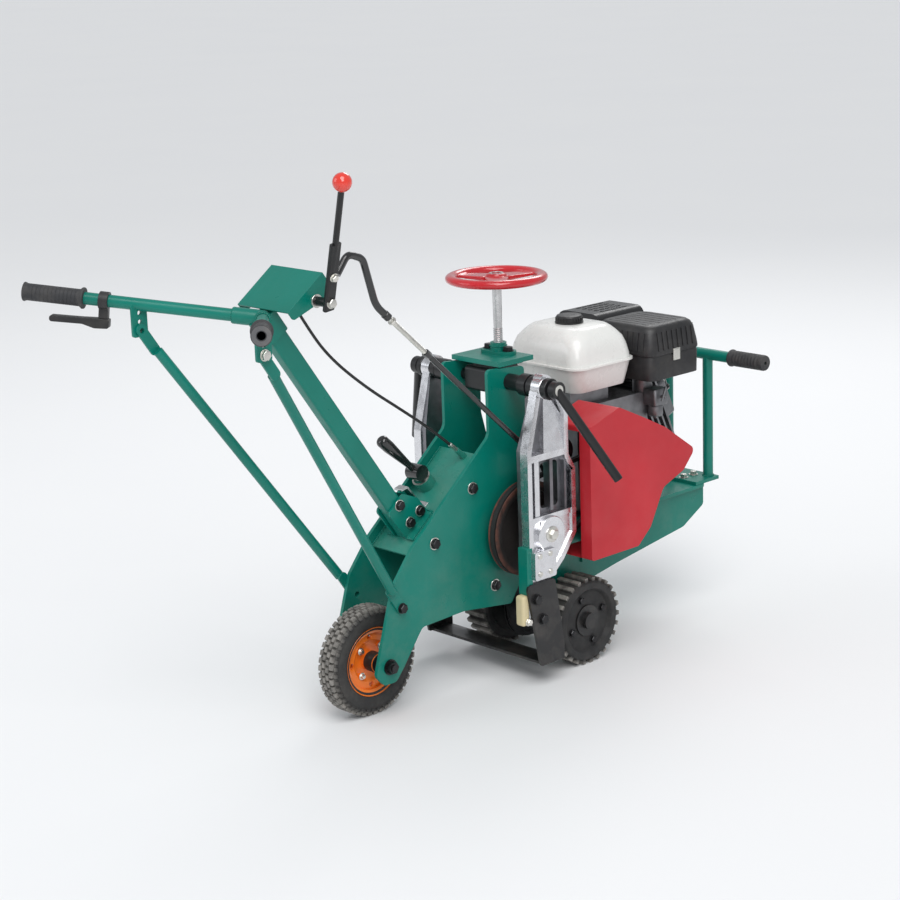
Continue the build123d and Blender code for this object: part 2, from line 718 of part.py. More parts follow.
def handle_head():
    """Welded socket at the column's top that takes both bars."""
    foot, top = column_axis()
    way = (top - foot).normalized()
    start = top - way * 44
    plane = Plane(origin=start, x_dir=(-way.Z, 0, way.X), z_dir=way)
    outer = COLUMN_W + 2 * BRACKET_T
    sleeve = plane * extrude(RectangleRounded(outer, COLUMN_D + 2 * BRACKET_T, 8), 50)
    core = plane * extrude(RectangleRounded(COLUMN_W + 2 * RUN, COLUMN_D + 2 * RUN, 6), 44 - BAR_D / 2 - 4 + GAP)
    head = sleeve - core
    for sign in SIDES.values():
        t = HEAD_W / BAR_LENGTH
        head += rod(bar_point(0, sign), bar_point(t, sign), SOCKET_D)
    for sign in SIDES.values():
        t = 16 / BAR_LENGTH
        head -= rod(bar_point(t, sign), bar_point(0.4, sign), BAR_D + 2 * RUN)
    return head


def handlebar(sign):
    start = bar_point(16.3 / BAR_LENGTH, sign)
    bar = tube(start, bar_point(1 - 4 / BAR_LENGTH, sign), BAR_D, BAR_WALL)
    face = Pos(0, -TAB_H / 2) * RectangleRounded(TAB_W, TAB_H, 5)
    for drop in TAB_HOLES:
        face -= Pos(0, BOLT_LIFT - TAB_H + drop) * Circle(4.5)
    tab = Pos(TAB_TOP.X, sign * TAB_TOP.Y, TAB_TOP.Z) * side_plate(face, -TAB_T / 2, TAB_T)
    return bar + (tab - rod(bar_point(0.4, sign), bar_point(0.6, sign), BAR_D - 2 * BAR_WALL))


def grip(sign):
    start = bar_point(1 - GRIP_L / BAR_LENGTH, sign)
    plane = Plane(origin=start, z_dir=bar_point(1, sign) - start)
    inner = BAR_D / 2 + RUN
    outer = GRIP_D / 2
    profile = outline([
        (inner, 0), (outer + 4, 0, 1.5), (outer + 4, 5, 1.5), (outer, 9), (outer, GRIP_L, 3),
        (7, GRIP_L), (7, GRIP_L - 3.5), (inner, GRIP_L - 3.5),
    ])
    return plane * revolve(Rot(90, 0, 0) * profile, Axis.Z)


def strut(sign):
    """Tube with flattened ends, bolted to the fork lobe and under the handlebar's tab."""
    foot = Vector(STRUT_BOLT[0], FRAME_W / 2 + GAP / 2 + STRUT_FLAT_T / 2, STRUT_BOLT[1])
    head = Vector(TAB_BOLT.X, TAB_BOLT.Y - GAP / 2 - STRUT_FLAT_T / 2, TAB_BOLT.Z)
    way = (head - foot).normalized()
    lean = math.degrees(math.atan2(way.Z, way.X))
    shape = rod(foot + way * STRUT_NECK, head - way * STRUT_NECK, STRUT_D)
    for spot, turn in ((foot, 0), (head, 180)):
        flat = Pos(STRUT_NECK / 2 - 3, 0) * RectangleRounded(STRUT_NECK + 20, STRUT_D + 2, 9) - Circle(BOLT_D / 2 - 1)
        shape += Pos(spot.X, spot.Y, spot.Z) * Rot(0, turn - lean, 0) * side_plate(
            flat, -STRUT_FLAT_T / 2, STRUT_FLAT_T)
    return shape


save("handle_head", handle_head())
save("handlebars", both_sides(handlebar))
save("grips", both_sides(grip))
save("struts", both_sides(strut))
save("frame_bolts", frame_bolts())


# Console plate over the handle's joint

CONSOLE_L = 108.0
CONSOLE_W = 150.0
CONSOLE_T = 3.0
CONSOLE_SLOPE = 36.0


def console_plate():
    sheet = Box(CONSOLE_L, CONSOLE_W, CONSOLE_T, align=(Align.MIN, Align.CENTER, Align.MIN))
    cheek = outline([(0, CONSOLE_T), (CONSOLE_L, CONSOLE_T), (CONSOLE_L, -48, 8), (0, -18, 8)])
    right = side_plate(cheek, -CONSOLE_W / 2, CONSOLE_T)
    left = side_plate(cheek, CONSOLE_W / 2 - CONSOLE_T, CONSOLE_T)
    z = COLUMN_TOP[1] + SOCKET_D / 2 + GAP
    return Pos(COLUMN_TOP[0] + 2, 0, z) * Rot(0, -CONSOLE_SLOPE, 0) * (sheet + right + left)


save("console_plate", console_plate())


# Clutch lever with its red ball, and the hooked rod that it pulls

LEVER_PIVOT = (-149.0, -112.0, 876.0)
LEVER_BALL = (-188.0, -210.0, 1110.0)
LEVER_SPLIT = 0.5
LEVER_ROD_D = 12.0
BALL_D = 36.0
ROD_D = 10.0
ROD_END = (430.0, -121.0, 428.0)


def lever_point(t):
    a, b = Vector(*LEVER_PIVOT), Vector(*LEVER_BALL)
    return a + (b - a) * t


def clutch_lever():
    start, middle, end = lever_point(-0.06), lever_point(LEVER_SPLIT), lever_point(0.97)
    plane = Plane(origin=start, x_dir=(1, 0, 0), z_dir=end - start)
    lower = plane * extrude(RectangleRounded(24, 10, 4), (middle - start).length)
    x, y, z = LEVER_PIVOT
    pivot = cross(x, z, y, -CONSOLE_W / 2 - GAP, 18)
    return lower + pivot + rod(lever_point(LEVER_SPLIT - 0.05), end, LEVER_ROD_D)


def lever_ball():
    top = lever_point(1.0)
    ball = Pos(top.X, top.Y, top.Z) * Sphere(BALL_D / 2)
    return ball - rod(lever_point(0.5), lever_point(0.971), LEVER_ROD_D + 2 * RUN)


def bent_rod(points, radii, diameter):
    """Round rod along straight runs joined by arcs."""
    path = FilletPolyline(*points, radius=radii)
    start = Plane(origin=path @ 0, z_dir=path % 0)
    return sweep(start * Circle(diameter / 2), path=path)


def clutch_rod():
    """Hook over the lever's ear, then a straight rod down to the belt tightener."""
    return bent_rod([(-142.2, -130, 930), (-112, -127, 964), (-74, -125, 950), (-46, -124, 857), ROD_END],
                    [22, 24, 60], ROD_D)


save("clutch_lever", clutch_lever())
save("lever_ball", lever_ball())
save("clutch_rod", clutch_rod())


# Run of the belt from the engine's output pulley to the driving disc

PULLEY_D = 84.0
SHAFT_Z = ENGINE_PLATE_Z + 133
CASE_X = ENGINE_X - 10


def tangent_angles(a, big, b, small):
    """Directions from the centres a and b to where a loop round both leaves them, upper run first."""
    gap = Vector(b[0] - a[0], b[1] - a[1])
    tilt = math.acos((big - small) / gap.length)
    turn = math.atan2(gap.Y, gap.X)
    return turn + tilt, turn - tilt


def belt_corners(shrink):
    """Ends of the belt's two straight runs, upper run first, for the given depth below its back."""
    big, small = DISC_D / 2 - shrink, PULLEY_D / 2 - shrink
    a, b = (CRANK_X, CRANK_Z), (CASE_X, SHAFT_Z)
    upper, lower = tangent_angles(a, big, b, small)
    corners = []
    for spot, radius, angle in ((a, big, upper), (b, small, upper), (b, small, lower), (a, big, lower)):
        corners.append((spot[0] + radius * math.cos(angle), spot[1] + radius * math.sin(angle)))
    return corners


def belt_face(shrink):
    """Outline round the driving disc and the engine pulley, shrunk by the given depth."""
    face = Pos(CRANK_X, CRANK_Z) * Circle(DISC_D / 2 - shrink)
    face += Pos(CASE_X, SHAFT_Z) * Circle(PULLEY_D / 2 - shrink)
    return face + make_face(Polyline(*belt_corners(shrink), close=True))


# Gear case on the crank shaft, and the chain from it down to the drive shaft

GEAR_OUT = (446.0, 262.0)
GEAR_SHAFT_D = 22.0
CASE_IN_Y = 22.0
CASE_OUT_Y = -50.0
CASE_BOSSES = [(336.0, 350.0), (418.0, 360.0), (456.0, 252.0)]
CHAIN_Y = 36.0
CHAIN_PITCH = 15.875
ROLLER_D = 9.0
SPROCKET_T = 5.0
SMALL_TEETH_COUNT = 12
BIG_TEETH_COUNT = 26
LINK_T = 2.0
TOOTH_TIP = 1.5
TOOTH_PLAY = 1.3


def gear_outline():
    return outline([(308, 384, 30), (408, 390, 34), (476, 300, 26), (476, 232, 20), (424, 226, 20), (310, 262, 30)])


def gear_case():
    """Split cast case between the side plates, on three bosses of the right one."""
    case = side_plate(gear_outline(), CASE_OUT_Y, CASE_IN_Y - CASE_OUT_Y)
    case += side_plate(offset(gear_outline(), 6), -20, 8)
    case += cross(CRANK_X, CRANK_Z, CASE_OUT_Y - 5, CASE_IN_Y + 5, 76)
    case += cross(*GEAR_OUT, CASE_IN_Y, CASE_IN_Y + 4, 44)
    for spot in CASE_BOSSES:
        case += cross(*spot, -PLATE_IN, CASE_OUT_Y + 2, 25)
    case -= cross(CRANK_X, CRANK_Z, -PLATE_IN, PLATE_IN, CRANK_D + 2 * RUN)
    return case - cross(*GEAR_OUT, CASE_IN_Y - 20, CASE_IN_Y + 5, GEAR_SHAFT_D + 2 * RUN)


def pitch_radius(teeth):
    return CHAIN_PITCH / 2 / math.sin(math.pi / teeth)


def sprocket(teeth, bore, hub):
    """Toothed plate with a one-sided hub, about Y, its first gap along +X."""
    r = pitch_radius(teeth)
    face = Circle(r + TOOTH_TIP) - Circle(bore / 2)
    for k in range(teeth):
        turn = 2 * math.pi * k / teeth
        face -= Pos(r * math.cos(turn), r * math.sin(turn)) * Circle(ROLLER_D / 2 + TOOTH_PLAY)
    plate_face = side_plate(face, -SPROCKET_T / 2, SPROCKET_T)
    return plate_face + (cross(0, 0, -hub[1], 0, hub[0]) - cross(0, 0, -hub[1] - 1, 1, bore))


def gear_sprocket():
    """Output shaft of the gear case with its sprocket."""
    shaft = cross(*GEAR_OUT, CASE_IN_Y - 18, CHAIN_Y + 10, GEAR_SHAFT_D)
    return shaft + Pos(GEAR_OUT[0], CHAIN_Y, GEAR_OUT[1]) * sprocket(SMALL_TEETH_COUNT, GEAR_SHAFT_D, (36, 7))


def drive_sprocket():
    return Pos(DRIVE_X, CHAIN_Y, DRIVE_Z) * sprocket(BIG_TEETH_COUNT, DRIVE_SHAFT_D + 2 * RUN, (48, 18))


def chain_points():
    """Roller centres: at the gaps of both sprockets where the chain lies on them, evenly between."""
    top, low = GEAR_OUT, (DRIVE_X, DRIVE_Z)
    big, small = pitch_radius(BIG_TEETH_COUNT), pitch_radius(SMALL_TEETH_COUNT)
    first, last = tangent_angles(low, big, top, small)
    wraps = []
    for spot, radius, teeth, start, span in (
            (low, big, BIG_TEETH_COUNT, first, 2 * math.pi - first + last), (top, small, SMALL_TEETH_COUNT, last, first - last)):
        step = 2 * math.pi / teeth
        turns = [k * step for k in range(round(start / step), round((start + span) / step) + 1)]
        wraps.append([(spot[0] + radius * math.cos(a), spot[1] + radius * math.sin(a)) for a in turns])
    points = []
    for here, there in ((wraps[0], wraps[1]), (wraps[1], wraps[0])):
        points += here
        (x0, z0), (x1, z1) = here[-1], there[0]
        count = round(math.hypot(x1 - x0, z1 - z0) / CHAIN_PITCH)
        points += [(x0 + (x1 - x0) * k / count, z0 + (z1 - z0) * k / count) for k in range(1, count)]
    return points


def clear_of_teeth(x, z):
    """True where a roller lies beyond the tooth tips of both sprockets."""
    reach = TOOTH_TIP + ROLLER_D / 2 + GAP
    top = math.hypot(x - GEAR_OUT[0], z - GEAR_OUT[1]) - pitch_radius(SMALL_TEETH_COUNT)
    low = math.hypot(x - DRIVE_X, z - DRIVE_Z) - pitch_radius(BIG_TEETH_COUNT)
    return top > reach and low > reach


def drive_chain():
    """Two rows of link plates, with rollers on the free runs between the sprockets."""
    loop = make_face(Polyline(*chain_points(), close=True))
    band = offset(loop, 5, kind=Kind.INTERSECTION) - offset(loop, -5, kind=Kind.INTERSECTION)
    inner = SPROCKET_T / 2 + GAP
    chain = side_plate(band, CHAIN_Y + inner, LINK_T) + side_plate(band, CHAIN_Y - inner - LINK_T, LINK_T)
    for x, z in chain_points():
        if clear_of_teeth(x, z):
            roller = extrude(RegularPolygon(ROLLER_D / 2, 6), 2 * inner)
            chain += Pos(x, CHAIN_Y + inner, z) * Rot(90, 0, 0) * roller
    return chain


save("gear_case", gear_case())
save("gear_sprocket", gear_sprocket())
save("drive_sprocket", drive_sprocket())
save("drive_chain", drive_chain())


# Belt tightener: plate on a pin in the right side plate, with its roller above the belt

IDLER_PIVOT = (404.0, 480.0)
IDLER_X = 472.0
IDLER_D = 56.0
IDLER_W = 20.0
IDLER_T = 6.0


def idler_spot():
    """Roller's axis, so that the roller stands just clear of the belt's upper run."""
    (x0, z0), (x1, z1) = belt_corners(0)[:2]
    rise = (z1 - z0) / (x1 - x0)
    return (IDLER_X, z0 + (IDLER_X - x0) * rise + (IDLER_D / 2 + GAP) * math.hypot(1, rise))


def idler_arm():
    spot = idler_spot()
    face = outline([
        (IDLER_PIVOT[0] - 14, IDLER_PIVOT[1] + 14, 12), (spot[0] + 14, spot[1] + 13, 12),
        (spot[0] + 14, spot[1] - 13, 12), (ROD_END[0] + 16, ROD_END[2] + 20, 10),
        (ROD_END[0] + 13, ROD_END[2] - 14, 12), (ROD_END[0] - 13, ROD_END[2] - 14, 12),
        (IDLER_PIVOT[0] - 14, IDLER_PIVOT[1] - 16, 12),
    ])
    outer = ROD_END[1] + ROD_D / 2
    plate_face = side_plate(face, outer, IDLER_T)
    pin = cross(*IDLER_PIVOT, -FRAME_W / 2, outer - 6, 16) + cross(*IDLER_PIVOT, -FRAME_W / 2, outer + IDLER_T, 26)
    axle = cross(*spot, DISC_Y - IDLER_W / 2, outer - 6, 10)
    roller = cross(*spot, DISC_Y - IDLER_W / 2, DISC_Y + IDLER_W / 2, IDLER_D)
    return plate_face + pin + axle + roller


save("idler_arm", idler_arm())


# Control cable from the console down to its stop on the deck

save("control_cable", bent_rod(CABLE, CABLE_RADII, CABLE_D))


# Club-shaped lever standing on the deck beside the column

CLUB_KNUCKLE_D = 34.0
CLUB_END = (86.0, 30.0, 548.0)


def club_lever():
    x, y = CLUB_BASE
    px, pz = deck_point(x)
    normal = Vector(-math.sin(SLOPE), 0, math.cos(SLOPE))
    knuckle = Vector(px, y, pz) + normal * (CLUB_POST_H + CLUB_KNUCKLE_D / 2 + GAP)
    end = Vector(*CLUB_END)
    way = (end - knuckle).normalized()
    length = (end - knuckle).length
    body = rod(knuckle - Vector(0, 17, 0), knuckle + Vector(0, 17, 0), CLUB_KNUCKLE_D)
    profile = outline([(0, 0), (9, 0), (7, 30, 20), (13, length - 30, 30), (13, length, 9), (0, length)])
    club = Plane(origin=knuckle, z_dir=way) * revolve(Rot(90, 0, 0) * profile, Axis.Z)
    return body + club


save("club_lever", club_lever())


# Hand lever under the left grip, on its clamp

CLAMP_AT = 0.66
LEVER_DROP = 34.0
HAND_LEVER_L = 104.0


def along_bar(t):
    """Place on the left bar: local X runs out along it, local Z is up."""
    spot = bar_point(t)
    turn = 180 - math.degrees(math.atan2(HANDLE_W / 2, COLUMN_TOP[0] - HANDLE_REACH_X))
    pitch = math.degrees(math.asin((bar_point(1).Z - bar_point(0).Z) / BAR_LENGTH))
    return Pos(spot.X, spot.Y, spot.Z) * Rot(0, 0, turn) * Rot(0, -pitch, 0)


def lever_clamp():
    ring = Rot(0, 90, 0) * Cylinder(BAR_D / 2 + 5, 18)
    lug = Box(18, 14, LEVER_DROP, align=(Align.CENTER, Align.CENTER, Align.MAX))
    bore = Rot(0, 90, 0) * Cylinder(BAR_D / 2 + RUN, 30)
    return along_bar(CLAMP_AT) * (ring + lug - bore)


def hand_lever():
    blade_face = outline([(-12, -18, 5), (16, -20, 12), (40, -14, 20), (HAND_LEVER_L, -16, 5),
                          (HAND_LEVER_L, -4, 5), (40, -2, 20), (10, 0), (-12, 0)])
    bar = side_plate(blade_face, -9, 18)
    return along_bar(CLAMP_AT) * Pos(0, 0, -LEVER_DROP - GAP) * bar


save("lever_clamp", lever_clamp())
save("hand_lever", hand_lever())


# Engine: crankcase and leaning cylinder, fan housing, tank, air cleaner and silencer

ENGINE_Y = 35.0
CASE_L = 226.0
CASE_W = 170.0
CASE_H = 240.0
FAN_D = 186.0
SHELL_T = 3.0
CYLINDER_LEAN = 65.0
FIN_COUNT = 6
TANK_Z = 566.0
SILENCER_Z = 562.0


def engine_block():
    z = ENGINE_PLATE_Z
    case = Pos(CASE_X, ENGINE_Y, z) * Box(CASE_L, CASE_W, CASE_H, align=UP)
    case = fillet(case.edges().filter_by(Axis.Y), 30)
    feet = Pos(CASE_X, ENGINE_Y, z) * Box(CASE_L + 24, CASE_W - 20, 14, align=UP)
    face = ENGINE_Y - CASE_W / 2
    cover = cross(CASE_X, SHAFT_Z, face, face - 14, 150)
    lean = Pos(CASE_X + 50, ENGINE_Y, z + 122) * Rot(0, CYLINDER_LEAN, 0)
    barrel = lean * Box(112, 112, 168, align=UP)
    head = lean * Pos(0, 0, 160) * fillet(Box(96, 104, 34, align=UP).edges().filter_by(Axis.Z), 12)
    block = case + feet + cover + barrel + head
    for k in range(FIN_COUNT):
        block += lean * Pos(0, 0, 72 + 15 * k) * Box(150, 146, 5, align=UP)
    intake = rod((CASE_X + 120, -30, z + 190), (CASE_X + 120, -30, z + 276), 44)
    pad = Pos(TANK_X, ENGINE_Y, z + CASE_H) * Box(120, 130, TANK_Z - z - CASE_H, align=UP)
    return block + intake + pad


TANK_X = ENGINE_X - 62
TANK_L = 196.0
TANK_W = 226.0
TANK_H = 134.0


def tank_form(shrink):
    """Both halves of the tank, drawn in by shrink on every face."""
    half = TANK_H * 0.42

    def ring(cut, corner, z):
        less = cut + 2 * shrink
        return Pos(0, 0, z) * RectangleRounded(TANK_L - less, TANK_W - less, corner - shrink)

    lower = loft([ring(34, 24, shrink), ring(10, 32, half)])
    upper = loft([ring(10, 32, half), ring(26, 36, TANK_H - 26), ring(74, 36, TANK_H - shrink)], ruled=True)
    return lower + upper


def fuel_tank():
    """Hollow tank with a welded seam and an open filler neck under the cap."""
    seam = Pos(0, 0, TANK_H * 0.42 - 2) * extrude(RectangleRounded(TANK_L, TANK_W, 34), 4)
    shell = tank_form(0) + seam - tank_form(SHELL_T)
    return Pos(TANK_X, ENGINE_Y - 10, TANK_Z) * (shell - Pos(0, 0, TANK_H - 10) * Cylinder(20, 20, align=UP))


def fuel_cap():
    cap = fillet(Cylinder(31, 18, align=UP).edges().sort_by(Axis.Z)[-1:], 5)
    return Pos(TANK_X, ENGINE_Y - 10, TANK_Z + TANK_H) * cap


CLEANER_L = 166.0
CLEANER_W = 174.0
CLEANER_BASE_H = 56.0
CLEANER_LID_H = 64.0
CLEANER_X = TANK_X + TANK_L / 2 + CLEANER_L / 2 + 5


def cleaner_form(shrink):
    """Base and lid of the air cleaner, drawn in by shrink on every face."""
    less = 2 * shrink
    base = Pos(0, 0, shrink) * extrude(
        RectangleRounded(CLEANER_L - less, CLEANER_W - less, 20 - shrink), CLEANER_BASE_H - shrink)
    foot = RectangleRounded(CLEANER_L + 4 - less, CLEANER_W + 4 - less, 22 - shrink)
    roof = RectangleRounded(CLEANER_L - 16 - less, CLEANER_W - 16 - less, 26 - shrink)
    return base + Pos(0, 0, CLEANER_BASE_H) * loft([foot, Pos(0, 0, CLEANER_LID_H - shrink) * roof])


def air_cleaner():
    mouth = Pos(CASE_X + 120 - CLEANER_X, -30 - ENGINE_Y + 64, -1) * Cylinder(18, SHELL_T + 2, align=UP)
    return Pos(CLEANER_X, ENGINE_Y - 64, TANK_Z) * (cleaner_form(0) - cleaner_form(SHELL_T) - mouth)


SILENCER_L = 150.0
SILENCER_W = 124.0
SILENCER_H = 126.0
SILENCER_T = 2.0
PORT_D = 36.0


def silencer():
    """Sheet box with its inlet pipe below and its outlet in front."""
    def box(t):
        shape = Box(SILENCER_L - 2 * t, SILENCER_W - 2 * t, SILENCER_H - 2 * t, align=UP)
        return Pos(ENGINE_X + 156, ENGINE_Y + 96, SILENCER_Z + t) * fillet(shape.edges().filter_by(Axis.X), 22 - t)

    port = (ENGINE_X + 150, ENGINE_Y + 68)
    front = ENGINE_X + 156 + SILENCER_L / 2
    outlet = (ENGINE_Y + 118, SILENCER_Z + 36)
    body = box(0) + rod((*port, SILENCER_Z - 17.5), (*port, SILENCER_Z + 4), PORT_D)
    body += rod((front - 4, *outlet), (front + 16, *outlet), 24)
    body -= box(SILENCER_T) + rod((*port, SILENCER_Z - 18), (*port, SILENCER_Z + 5), PORT_D - 6)
    return body - rod((front - 5, *outlet), (front + 17, *outlet), 19)


def fan_housing():
    y = ENGINE_Y + CASE_W / 2
    shell = side_plate(outline([
        (CASE_X - 118, SHAFT_Z - 105, 60), (CASE_X - 118, SHAFT_Z + 97, 60), (CASE_X + 60, SHAFT_Z + 133, 40),
        (CASE_X + 120, SHAFT_Z + 77, 40), (CASE_X + 118, SHAFT_Z - 93, 60), (CASE_X, SHAFT_Z - 123, 60),
    ]), y, 44)
    cover = cross(CASE_X, SHAFT_Z, y + 44, y + 62, FAN_D)
    return shell + cover + cross(CASE_X, SHAFT_Z, y + 62, y + 76, FAN_D - 66)


save("engine_block", engine_block())
save("fan_housing", fan_housing())
save("fuel_tank", fuel_tank())
save("fuel_cap", fuel_cap())
save("air_cleaner", air_cleaner())
save("silencer", silencer())


# Output pulley of the engine, and the belt to the driving disc

def engine_pulley():
    face = ENGINE_Y - CASE_W / 2 - 14
    shaft = cross(CASE_X, SHAFT_Z, face, DISC_Y - DISC_T / 2 - 4, DRIVE_SHAFT_D)
    return shaft + Pos(CASE_X, DISC_Y, SHAFT_Z) * pulley(PULLEY_D / 2, DRIVE_SHAFT_D, DISC_T)


def drive_belt():
    return side_plate(belt_face(0) - belt_face(BELT_T), DISC_Y - BELT_W / 2, BELT_W)


BELT_T = 8.0
BELT_W = 10.4
save("engine_pulley", engine_pulley())
save("drive_belt", drive_belt())


# Belt guard on the right of the engine

GUARD_FACE_Y = -200.0
GUARD_IN_Y = -86.0
GUARD_T = 2.5
GUARD_FLOOR_Z = 250.0
GUARD_REAR_H = 270.0
GUARD_STAYS_X = (500.0, 576.0)
STAY_REACH = 116.0


def guard_outline():
    return outline([
        (455, GUARD_FLOOR_Z, 6), (600, GUARD_FLOOR_Z, 6), (640, 284, 20), (682, 362, 25), (748, 386, 16), (786, 426, 12),
        (690, 492, 20), (626, 524, 10), (545, 562, 10), (455, 534, 6),
    ])


def belt_guard():
    depth = GUARD_IN_Y - GUARD_FACE_Y
    shell = side_plate(guard_outline(), GUARD_FACE_Y, depth)
    inner = side_plate(offset(guard_outline(), -GUARD_T), GUARD_FACE_Y + GUARD_T, depth)
    rear = Pos(455, GUARD_FACE_Y + 30, GUARD_FLOOR_Z + GUARD_T) * Box(
        24, depth, GUARD_REAR_H, align=(Align.CENTER, Align.MIN, Align.MIN))
    return shell - inner - rear


def guard_stays():
    """Two angle stays from the engine plate's side to the guard's floor."""
    stays = []
    for x in GUARD_STAYS_X:
        upright = Pos(x, -FRAME_W / 2, GUARD_FLOOR_Z) * Box(
            34, BRACKET_T, 52, align=(Align.CENTER, Align.MAX, Align.MAX))
        shelf = Pos(x, -FRAME_W / 2, GUARD_FLOOR_Z) * Box(
            34, STAY_REACH, BRACKET_T, align=(Align.CENTER, Align.MAX, Align.MAX))
        stays.append(upright + shelf)
    return stays


save("belt_guard", belt_guard())
save("guard_stays", guard_stays())


# Front handle in front of the engine, with two grips

POST_D = 23.0
FOOT_PLATE_T = 8.0


def front_handle():
    end = FRONT_W / 2 - 4
    bar = tube((FRONT_X, -end, FRONT_Z), (FRONT_X, end, FRONT_Z), FRONT_BAR_D, BAR_WALL)
    foot = Pos(ENGINE_PLATE_FRONT_X - 36, 0, ENGINE_PLATE_Z) * Box(
        FRONT_X - ENGINE_PLATE_FRONT_X + 50, POST_GAP + 40, FOOT_PLATE_T, align=(Align.MIN, Align.CENTER, Align.MIN))
    for sign in SIDES.values():
        y = sign * POST_GAP / 2
        foot += rod((FRONT_X, y, ENGINE_PLATE_Z), (FRONT_X, y, FRONT_Z), POST_D)
    return bar + (foot - cross(FRONT_X, FRONT_Z, -FRONT_W, FRONT_W, FRONT_BAR_D - BAR_WALL))


def front_grip(sign):
    end = FRONT_W / 2
    length = 96
    inner = FRONT_BAR_D / 2 + RUN
    outer = FRONT_BAR_D / 2 + 5
    profile = outline([
        (inner, end - length), (outer + 2, end - length, 1.5), (outer + 2, end - length + 5, 1.5),
        (outer, end - length + 8), (outer, end - 3, 3), (4, end), (4, end - 3.5), (inner, end - 3.5),
    ])
    return Pos(FRONT_X, 0, FRONT_Z) * revolve(profile, Axis.Y)


save("front_handle", front_handle())
save("front_grips", both_sides(front_grip))
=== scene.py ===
import json
import math

import bmesh
import bpy
from mathutils import Matrix, Vector
from mathutils.geometry import tessellate_polygon


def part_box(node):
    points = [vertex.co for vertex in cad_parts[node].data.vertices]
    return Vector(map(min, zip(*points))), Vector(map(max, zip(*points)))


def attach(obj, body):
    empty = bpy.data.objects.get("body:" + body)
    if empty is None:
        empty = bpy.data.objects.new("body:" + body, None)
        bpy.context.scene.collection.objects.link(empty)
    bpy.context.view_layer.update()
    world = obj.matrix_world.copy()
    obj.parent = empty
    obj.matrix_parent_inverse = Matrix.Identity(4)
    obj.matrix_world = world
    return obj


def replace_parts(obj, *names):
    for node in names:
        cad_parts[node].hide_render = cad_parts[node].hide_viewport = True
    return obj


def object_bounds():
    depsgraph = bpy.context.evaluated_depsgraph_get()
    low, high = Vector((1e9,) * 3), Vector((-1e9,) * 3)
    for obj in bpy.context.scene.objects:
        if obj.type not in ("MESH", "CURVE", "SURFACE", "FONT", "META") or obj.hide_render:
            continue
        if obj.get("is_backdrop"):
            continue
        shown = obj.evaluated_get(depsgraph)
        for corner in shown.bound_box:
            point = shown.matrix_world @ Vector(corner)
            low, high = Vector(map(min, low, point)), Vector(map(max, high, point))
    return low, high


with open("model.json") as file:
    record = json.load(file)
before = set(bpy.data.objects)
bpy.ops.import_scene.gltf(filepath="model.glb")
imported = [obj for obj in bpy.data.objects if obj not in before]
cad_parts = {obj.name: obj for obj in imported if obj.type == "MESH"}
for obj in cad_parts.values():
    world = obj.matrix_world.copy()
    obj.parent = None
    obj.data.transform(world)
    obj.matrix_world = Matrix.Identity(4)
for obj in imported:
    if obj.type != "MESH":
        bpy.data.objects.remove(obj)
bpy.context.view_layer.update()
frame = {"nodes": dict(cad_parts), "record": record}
nodes = frame["nodes"]
record = frame["record"]
slot_of = {part["node"]: part["material_slot"] for part in record["subparts"]}
body_of = {name: body for body, names in record["behaviour"]["bodies"].items() for name in names}

# Stations are in millimetres forward from the rear axle, as the machine's drawing gives them
ORIGIN_X = 254.25


def at(x, y, z):
    """Point of the scene, in metres, from a station of the drawing."""
    return Vector((x - ORIGIN_X, y, z)) / 1000


Y = Vector((0, 1, 0))
UP = Vector((0, 0, 1))

# Axes along Y, as (station, height)
REAR_AXLE = (0, 112.5)
FRONT_AXLE = (504, 95)
CRANK = (365, 325)
SHAFT = (357, 632)
ENGINE = (690, 423)


def around(axis, y, radius=0.0, angle=0.0):
    """Point beside an axis along Y, at a radius in millimetres and an angle round it."""
    return at(axis[0] + radius * math.cos(angle), y, axis[1] + radius * math.sin(angle))


def upright_spoke(angle):
    """Direction at an angle round an upright axis, and the turn that lays +Z along it."""
    out = Vector((math.cos(angle), math.sin(angle), 0))
    return out, Matrix((UP.cross(out), UP, out)).transposed()


def wheel_spoke(angle):
    """The same round an axle along Y."""
    out = Vector((math.cos(angle), 0, math.sin(angle)))
    return out, Matrix((out.cross(Y), Y, out)).transposed()


# Camera at the photograph's place, aimed at the machine

cam_data = bpy.data.cameras.new("camera")
cam = bpy.data.objects.new("camera", cam_data)
bpy.context.scene.collection.objects.link(cam)
EYE = Vector((-2.928, -3.110, 1.586))
AIM = Vector((-0.005, 0.0, 0.498))
look = (AIM - EYE).normalized()
roll_up = Vector((0.2002, 0.1623, 0.9662))
right = look.cross(roll_up).normalized()
up = right.cross(look)
cam.matrix_world = Matrix.Translation(EYE) @ Matrix((right, up, -look)).transposed().to_4x4()
cam_data.lens = 86
cam_data.sensor_width = 36
cam_data.clip_start, cam_data.clip_end = 0.05, 200
bpy.context.scene.camera = cam
bpy.context.scene.view_settings.view_transform = "Standard"


# Materials

def new_material(name):
    """Material with only a principled shader, its tree and the shader."""
    material = bpy.data.materials.new(name)
    material.use_nodes = True
    tree = material.node_tree
    tree.nodes.clear()
    out = tree.nodes.new("ShaderNodeOutputMaterial")
    shader = tree.nodes.new("ShaderNodeBsdfPrincipled")
    tree.links.new(shader.outputs["BSDF"], out.inputs["Surface"])
    return material, tree, shader


def node(tree, kind, inputs=(), **settings):
    """Shader node whose inputs are values or the outputs of other nodes."""
    n = tree.nodes.new("ShaderNode" + kind)
    for key, value in settings.items():
        setattr(n, key, value)
    for key, value in dict(inputs).items():
        if isinstance(value, bpy.types.NodeSocket):
            tree.links.new(value, n.inputs[key])
        else:
            n.inputs[key].default_value = value
    return n


